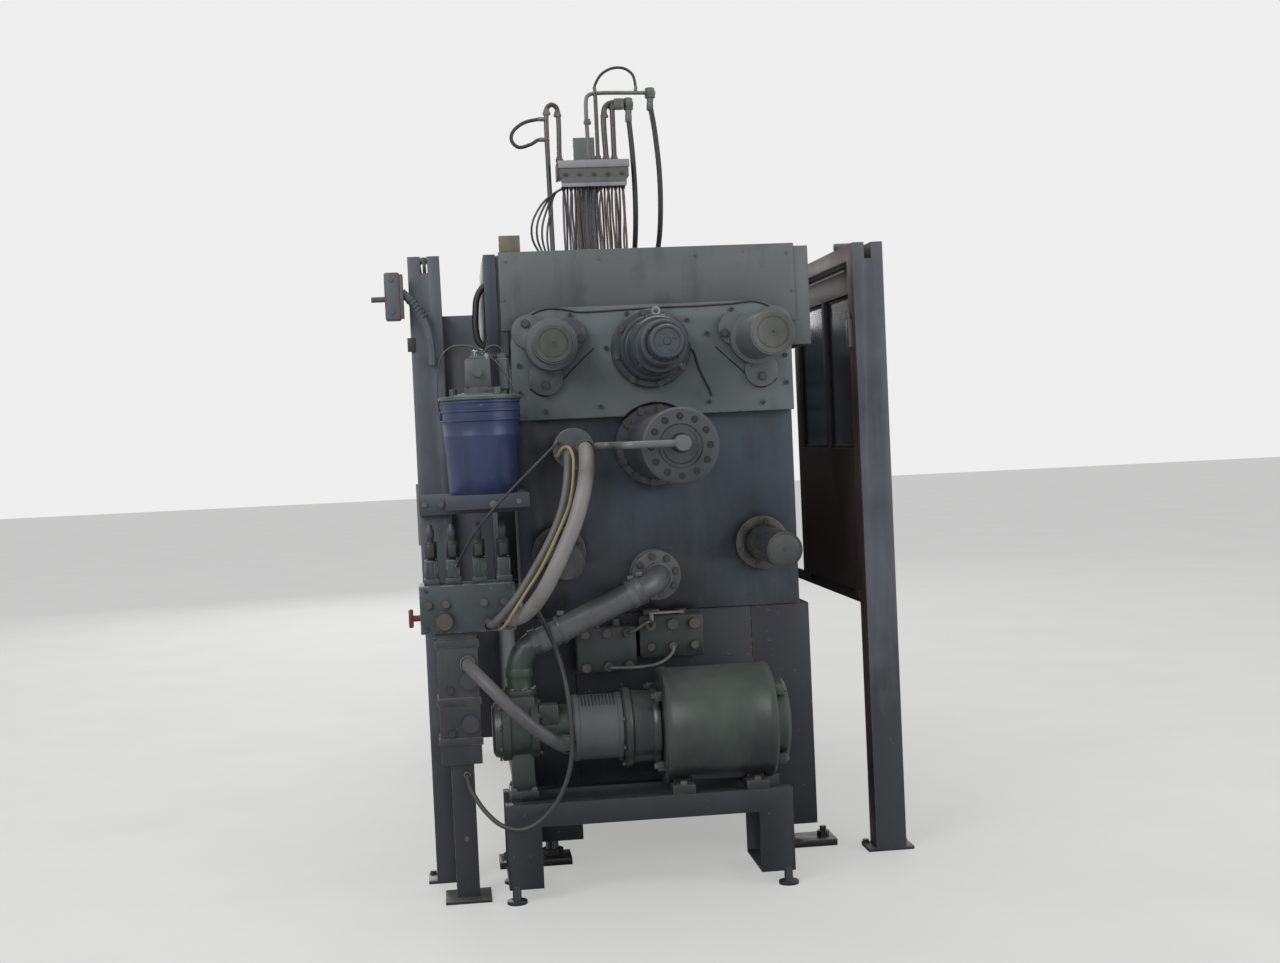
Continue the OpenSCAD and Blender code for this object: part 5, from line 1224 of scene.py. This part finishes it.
class MACHINE_OT_sprayer(bpy.types.Operator):
    """Model the sprayer's head with its pipes, fittings and spray tubes"""
    bl_idname = "machine.sprayer"
    bl_label = "Sprayer"

    def execute(self, context):
        dressed("sprayer_head", "machine_paint", 0.002)
        top, mid = 2933, 2200
        bm = bmesh.new()
        block(bm, at(-164, 2132, 2900), at(186, 2141, 2937), 0.002)
        block(bm, at(-150, 2131, 2808), at(168, 2134, 2826), 0.001)
        piece("head_strip", bm, "pale_plastic")
        bm = bmesh.new()
        block(bm, at(-170, 2136, 2850), at(-159, 2262, 2930), 0.003)
        for x in (-130, -60, 10, 80, 150):
            hex_head(bm, at(x, 2132, 2868), BACK, 0.008)
        piece("head_end", bm, "rusty_steel")

        runs = [
            ([at(-150, mid, top), at(-150, mid, 3221), at(-203, mid, 3221), at(-203, mid, 2402)], 0.026, 0.024),
            ([at(-5, mid, top), at(-5, mid, 3268), at(310, mid, 3268)], 0.024, 0.02),
            ([at(80, mid, top), at(80, mid, 3221), at(194, mid, 3221)], 0.034, 0.028),
            ([at(40, mid, top), at(40, mid, 3272)], 0.02, 0.02),
            ([at(120, mid, top), at(120, mid, 3205)], 0.02, 0.026),
        ]
        first = True
        for k, (run, radius, thick) in enumerate(runs):
            pipe("sprayer_pipe_%d" % k, [bent(run, radius)], thick, "tube_metal" if k != 1 else "grey_metal",
                 resolution=6, sides=3, replaces=("sprayer_pipes",) if first else ())
            first = False
        bm = bmesh.new()
        for x, low, high, r in ((310, 3240, 3292, 28), (200, 3185, 3245, 26)):
            base = at(x, mid, low)
            tall = (high - low) * 0.001
            turned(bm, [(0, 0.004), (0, r * 0.00086), (0.003, r * 0.00092), (tall * 0.3, r * 0.00092),
                        (tall * 0.34, r * 0.001), (tall * 0.66, r * 0.001), (tall * 0.7, r * 0.00088),
                        (tall - 0.003, r * 0.00084), (tall, r * 0.0006), (tall, 0)], base, UP, 6)
        for x, z, toward in ((-150, 2940, UP), (-5, 2940, UP), (80, 2940, UP), (40, 2940, UP), (120, 2940, UP),
                             (-150, 3160, UP), (80, 3150, UP), (120, 3190, UP), (-5, 3120, UP),
                             (-203, 2404, UP), (-203, 3170, UP)):
            turned(bm, [(0, 0.011), (0, 0.019), (0.014, 0.019), (0.016, 0.015), (0.026, 0.015), (0.027, 0.011)],
                   at(x, mid, z), toward, 6)
        for x, z in ((-215, 3150), (-215, 3050)):
            nut(bm, at(x + 20, mid, z), LEFT, 0.006, 0.013, 0.02)
        block(bm, at(128, 2175, 3190), at(176, 2225, 3240), 0.004)
        piece("sprayer_fittings", bm, "grey_metal")

        first_x, pitch = -135, 36.5
        # Spray tubes: thin, a little bent, each set in the head and in the nozzle block
        rnd = random.Random(11)
        bright, copper = [], []
        for k in range(9):
            for row in (-1, 1):
                x = first_x + k * pitch
                sway, deep = rnd.uniform(-9, 9), rnd.uniform(-7, 7)
                run = [at(x, mid + row * 20, 2815), at(x + row * 4, mid + row * 20, 2780),
                       at(x + row * 7 + sway * 0.6, mid + row * (20 + deep), 2680 + rnd.uniform(-30, 30)),
                       at(x + row * 7 - sway * 0.3, mid + row * 22, 2520 + rnd.uniform(-30, 30)),
                       at(x + row * 3, mid + row * 20, 2440), at(x, mid + row * 20, 2398)]
                (copper if rnd.random() < 0.4 else bright).append(run)
        for k in range(8):
            x = first_x + 18 + k * pitch
            bright.append([at(x, mid, 2815), at(x + rnd.uniform(-5, 5), mid + rnd.uniform(-4, 4), 2700),
                           at(x + rnd.uniform(-6, 6), mid + rnd.uniform(-4, 4), 2520), at(x, mid, 2398)])
        for k in range(4):
            x = -140 + k * 9
            bright.append([at(x, 2190 - k * 12, 2812), at(x - 40 - 10 * k, 2185 - k * 12, 2784),
                           at(-205 - 22 * k, 2180 - k * 12, 2700), at(-228 - 26 * k, 2182 - k * 10, 2590),
                           at(-222 - 14 * k, 2186, 2490), at(-204 + k * 4, 2190, 2398)])
        pipe("spray_tubes_grey", bright, 0.0105, "tube_metal", resolution=4, sides=2, replaces=("spray_tubes",))
        pipe("spray_tubes_copper", copper, 0.0105, "copper_tube", resolution=4, sides=2)
        bm = bmesh.new()
        for k in range(9):
            for row in (-1, 1):
                x = first_x + k * pitch
                for z, toward in ((2815, DOWN), (2400, UP)):
                    turned(bm, [(0, 0.005), (0, 0.0085), (0.012, 0.0085), (0.014, 0.0065), (0.02, 0.0065),
                                (0.02, 0.005)], at(x, mid + row * 20, z), toward, 6)
                turned(bm, [(0, 0), (0, 0.009), (0.014, 0.009), (0.022, 0.005), (0.03, 0.004), (0.03, 0)],
                       at(x, mid + row * 20, 2310), DOWN, 12)
        piece("tube_nuts", bm, "bolt_steel")
        bm = bmesh.new()
        for x in (205, 250, 295, 340, 385):
            block(bm, at(x - 16, 2742, 2305), at(x + 16, 2782, 2352), 0.003)
        for z in (2150, 2280):
            for x in (195, 415):
                cap_screw(bm, at(x, 2642, z), BACK, 0.008)
        piece("valve_box_valves", bm, "dull_black")
        bm = bmesh.new()
        block(bm, at(194, 2620, 2262), at(234, 2644, 2305), 0.003)
        piece("hose_seat", bm, "grey_metal")
        return {"FINISHED"}


# ---------------------------------------------------------------- injection end and bed


class MACHINE_OT_injection(bpy.types.Operator):
    """Model the bottles, bolts and nuts of the injection end and the bed"""
    bl_idname = "machine.injection"
    bl_label = "Injection end"

    def execute(self, context):
        platen_end, yoke_end, shot_end, far = 2882, 4152, 5062, 5182
        bottles = (far - 620, far - 300)
        low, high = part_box("accumulators")
        base = 0.62
        bm = bmesh.new()
        for u in bottles:
            where = Vector(((low.x + high.x) / 2, at(0, u, 0).y, base))
            dome = [(1.23 + 0.12 * math.sin(a), 0.12 * math.cos(a))
                    for a in [math.radians(v) for v in range(0, 80, 10)]]
            turned(bm, [(0, 0), (0, 0.086), (0.004, 0.09), (0.056, 0.09), (0.06, 0.114), (0.066, 0.12)] + dome
                   + [(1.348, 0.025), (1.352, 0.022), (1.36, 0.025), (1.402, 0.025), (1.41, 0.02), (1.41, 0)],
                   where, UP)
        piece("bottles", bm, "nut_paint", replaces=("accumulators",))
        bm = bmesh.new()
        for u in bottles:
            where = Vector(((low.x + high.x) / 2, at(0, u, 0).y, base))
            for h in (0.36, 0.98):
                turned(bm, [(h, 0.119), (h, 0.1245), (h + 0.045, 0.1245), (h + 0.045, 0.119)], where, UP)
                band = where + UP * h
                block(bm, band + Vector((-0.1325, -0.018, 0.004)), band + Vector((-0.119, 0.018, 0.041)), 0.002)
                bar(bm, band + Vector((-0.126, -0.03, 0.022)), band + Vector((-0.126, 0.03, 0.022)), 0.006,
                    steps=12)
            hex_head(bm, where + UP * 1.41, UP, 0.022)
        piece("bottle_bands", bm, "bolt_steel")

        # Shot cylinder, yoke and columns
        bm = bmesh.new()
        shot = 1400
        for u, toward in ((yoke_end + 70, FRONT), (shot_end - 90, BACK), (shot_end, FRONT)):
            for place in around(at(0, u, shot), toward, 0.135, 12, 0.13):
                cap_screw(bm, place, toward, 0.014)
        for x in (-260, 260):
            for place in around(at(x, yoke_end, shot), FRONT, 0.045, 6):
                cap_screw(bm, place, FRONT, 0.012)
        for x in (-150, 150):
            for z in (1560, 1240):
                hex_head(bm, at(x * 1.6, yoke_end, z), FRONT, 0.02)
        for x, u in ((-80, 4380), (80, 4380), (-80, 4750), (80, 4750)):
            cap_screw(bm, at(x, u, 1650), UP, 0.014)
        piece("injection_screws", bm, "bolt_steel")
        bm = bmesh.new()
        for x in (-260, 260):
            bar(bm, at(x, yoke_end, shot), at(x, yoke_end + 30, shot), 0.072, 0.004, steps=40)
            bar(bm, at(x, platen_end, shot), at(x, platen_end + 30, shot), 0.08, 0.004, steps=40)
        piece("column_collars", bm, "dark_steel")
        bm = bmesh.new()
        for u in (4460, 4620):
            block(bm, at(-60, u - 40, 1650), at(60, u + 40, 1735), 0.004)
            block(bm, at(-104, u - 30, 1660), at(-60, u + 30, 1720), 0.006)
            block(bm, at(60, u - 30, 1660), at(104, u + 30, 1720), 0.006)
        piece("injection_valves", bm, "dull_black")
        pipe("injection_pipes", [
            bent([at(110, 4520, 1580), at(200, 4520, 1580), at(420, bottles[0], 1580), at(420, bottles[0], 1000),
                  at(400, bottles[0], 1000)], 0.06),
            bent([at(0, 4790, 1640), at(0, 4790, 1720), at(300, bottles[1], 1720), at(380, bottles[1], 1640)], 0.06),
        ], 0.034, "pipe_metal", resolution=6, sides=3)

        # Nuts of the levelling screws, anchor bolts, tank gauge and lid screws
        bm = bmesh.new()
        for x in (-440, 440):
            for u in (210, 1460, 2802, 3962, 5032):
                for z in (30, 86):
                    nut(bm, at(x, u, z), UP, 0.024, 0.042, 0.022)
        for x in (-600, 600):
            for u in (210, 5032):
                bar(bm, at(x, u, 4), at(x, u, 62), 0.0125, steps=20)
                nut(bm, at(x, u, 25), UP, 0.013, 0.024, 0.02)
        piece("bed_nuts", bm, "bolt_steel")
        bm = bmesh.new()
        for x in (-250, 250):
            for u in (3102, 3600, 4100, 4600):
                cap_screw(bm, at(x, u, 572), UP, 0.009)
        turned(bm, [(0, 0.045), (0, 0.052), (0.02, 0.055), (0.03, 0.05), (0.034, 0.03), (0.034, 0)],
               at(-190, 3202, 640), UP, 32)
        piece("tank_fittings", bm, "grey_metal")
        return {"FINISHED"}


# ---------------------------------------------------------------- stage


class MACHINE_OT_stage(bpy.types.Operator):
    """Set the floor, the lamps and the view"""
    bl_idname = "machine.stage"
    bl_label = "Stage"

    def execute(self, context):
        scene = context.scene
        scene.view_settings.view_transform = "Standard"
        bm = bmesh.new()
        bmesh.ops.create_grid(bm, x_segments=1, y_segments=1, size=40)
        mesh = bpy.data.meshes.new("floor")
        bm.to_mesh(mesh)
        bm.free()
        floor = bpy.data.objects.new("floor", mesh)
        scene.collection.objects.link(floor)
        paint = bpy.data.materials.new("pale_floor")
        paint.use_nodes = True
        tree = paint.node_tree
        shader = tree.nodes["Principled BSDF"]
        where = wire(tree, "ShaderNodeTexCoord").outputs["Object"]
        cloud = between(tree, speckle(tree, where, 1.4, 4.0), 0.3, 0.7)
        tree.links.new(mixed(tree, cloud, (0.60, 0.60, 0.59), (0.66, 0.66, 0.65)), shader.inputs["Base Color"])
        shader.inputs["Roughness"].default_value = 0.75
        glow = wire(tree, "ShaderNodeEmission", {"Color": (0.80, 0.80, 0.79), "Strength": 1.0})
        seen = sums(tree, "MULTIPLY", wire(tree, "ShaderNodeLightPath").outputs["Is Camera Ray"], 0.5)
        both = wire(tree, "ShaderNodeMixShader", {0: seen, 1: shader.outputs[0], 2: glow.outputs[0]})
        tree.links.new(both.outputs[0], tree.nodes["Material Output"].inputs["Surface"])
        mesh.materials.append(paint)

        world = bpy.data.worlds.new("hall")
        scene.world = world
        world.use_nodes = True
        tree = world.node_tree
        tree.nodes.clear()
        rays = wire(tree, "ShaderNodeLightPath").outputs
        seen = sums(tree, "MAXIMUM", sums(tree, "MAXIMUM", rays["Is Camera Ray"], rays["Is Glossy Ray"]),
                    rays["Is Transmission Ray"])
        light = wire(tree, "ShaderNodeBackground", {"Color": (0.96, 0.975, 1.0), "Strength": 0.46})
        plain = wire(tree, "ShaderNodeBackground", {"Color": (0.86, 0.86, 0.86), "Strength": 1.0})
        both = wire(tree, "ShaderNodeMixShader", {0: seen, 1: light.outputs[0], 2: plain.outputs[0]})
        wire(tree, "ShaderNodeOutputWorld", {0: both.outputs[0]})

        for name, place, aim, size, power in [
            ("key", (-5.5, -8.5, 5.5), (0, -2.2, 1.4), 4.5, 350),
            ("fill", (6.0, -7.0, 3.6), (0, -2.2, 1.4), 4.0, 150),
            ("top", (0, 0.5, 7.5), (0, 0, 1.5), 5.0, 170),
            ("far", (-1.5, 8.5, 4.5), (0, 0, 1.5), 4.0, 230),
        ]:
            lamp = bpy.data.lights.new(name, "AREA")
            lamp.size = size
            lamp.energy = power
            stand = bpy.data.objects.new(name, lamp)
            stand.matrix_world = pose(Vector(place), Vector(place) - Vector(aim))
            scene.collection.objects.link(stand)

        # The photograph's place and roll, with a longer lens turned to the machine
        eye = Vector((-0.752, -8.808, 1.60))
        right, ahead = Vector((0.9990, 0.0020, -0.0481)), Vector((-0.0069, 0.9947, -0.1029))
        up = Vector((0.0476, 0.1031, 0.9937))
        wide = 1008.0
        turn = (ahead + right * ((755 - 640) / wide) - up * ((401 - 481.5) / wide)).normalized()
        side = (right - turn * right.dot(turn)).normalized()
        top = side.cross(turn)
        view = Matrix((side, top, -turn)).transposed().to_4x4()
        view.translation = eye
        camera = bpy.data.cameras.new("view")
        camera.lens = sizes().lens
        camera.sensor_width = 36
        camera.clip_end = 200
        stand = bpy.data.objects.new("view", camera)
        stand.matrix_world = view
        scene.collection.objects.link(stand)
        scene.camera = stand
        return {"FINISHED"}


# ---------------------------------------------------------------- panel and run

OPERATORS = [
    MACHINE_OT_stage,
    MACHINE_OT_hoses,
    MACHINE_OT_castings,
    MACHINE_OT_finishes,
    MACHINE_OT_clamp_end,
    MACHINE_OT_pump_set,
    MACHINE_OT_manifold,
    MACHINE_OT_pail,
    MACHINE_OT_lamp,
    MACHINE_OT_guards,
    MACHINE_OT_sprayer,
    MACHINE_OT_injection,
]


class MACHINE_PT_panel(bpy.types.Panel):
    """Lists the machine's steps and settings"""
    bl_idname = "MACHINE_PT_panel"
    bl_label = "Die Casting Machine"
    bl_space_type = "VIEW_3D"
    bl_region_type = "UI"
    bl_category = "Machine"

    def draw(self, context):
        column = self.layout.column()
        for step in OPERATORS:
            column.operator(step.bl_idname)
        for settings in (context.scene.machine_colours, context.scene.machine_sizes):
            for name in settings.__annotations__:
                column.prop(settings, name)


CLASSES = [MachineColours, MachineSizes, *OPERATORS, MACHINE_PT_panel]


def register():
    for item in CLASSES:
        bpy.utils.register_class(item)
    bpy.types.Scene.machine_colours = PointerProperty(type=MachineColours)
    bpy.types.Scene.machine_sizes = PointerProperty(type=MachineSizes)


def unregister():
    del bpy.types.Scene.machine_colours
    del bpy.types.Scene.machine_sizes
    for item in reversed(CLASSES):
        bpy.utils.unregister_class(item)


def main():
    register()
    groups["weathering"] = build_weathering()
    groups["chipping"] = build_chipping()
    groups["surface_grain"] = build_skin()
    build_finishes()
    for step in OPERATORS:
        family, name = step.bl_idname.split(".")
        getattr(getattr(bpy.ops, family), name)()


if __name__ == "__main__":
    main()
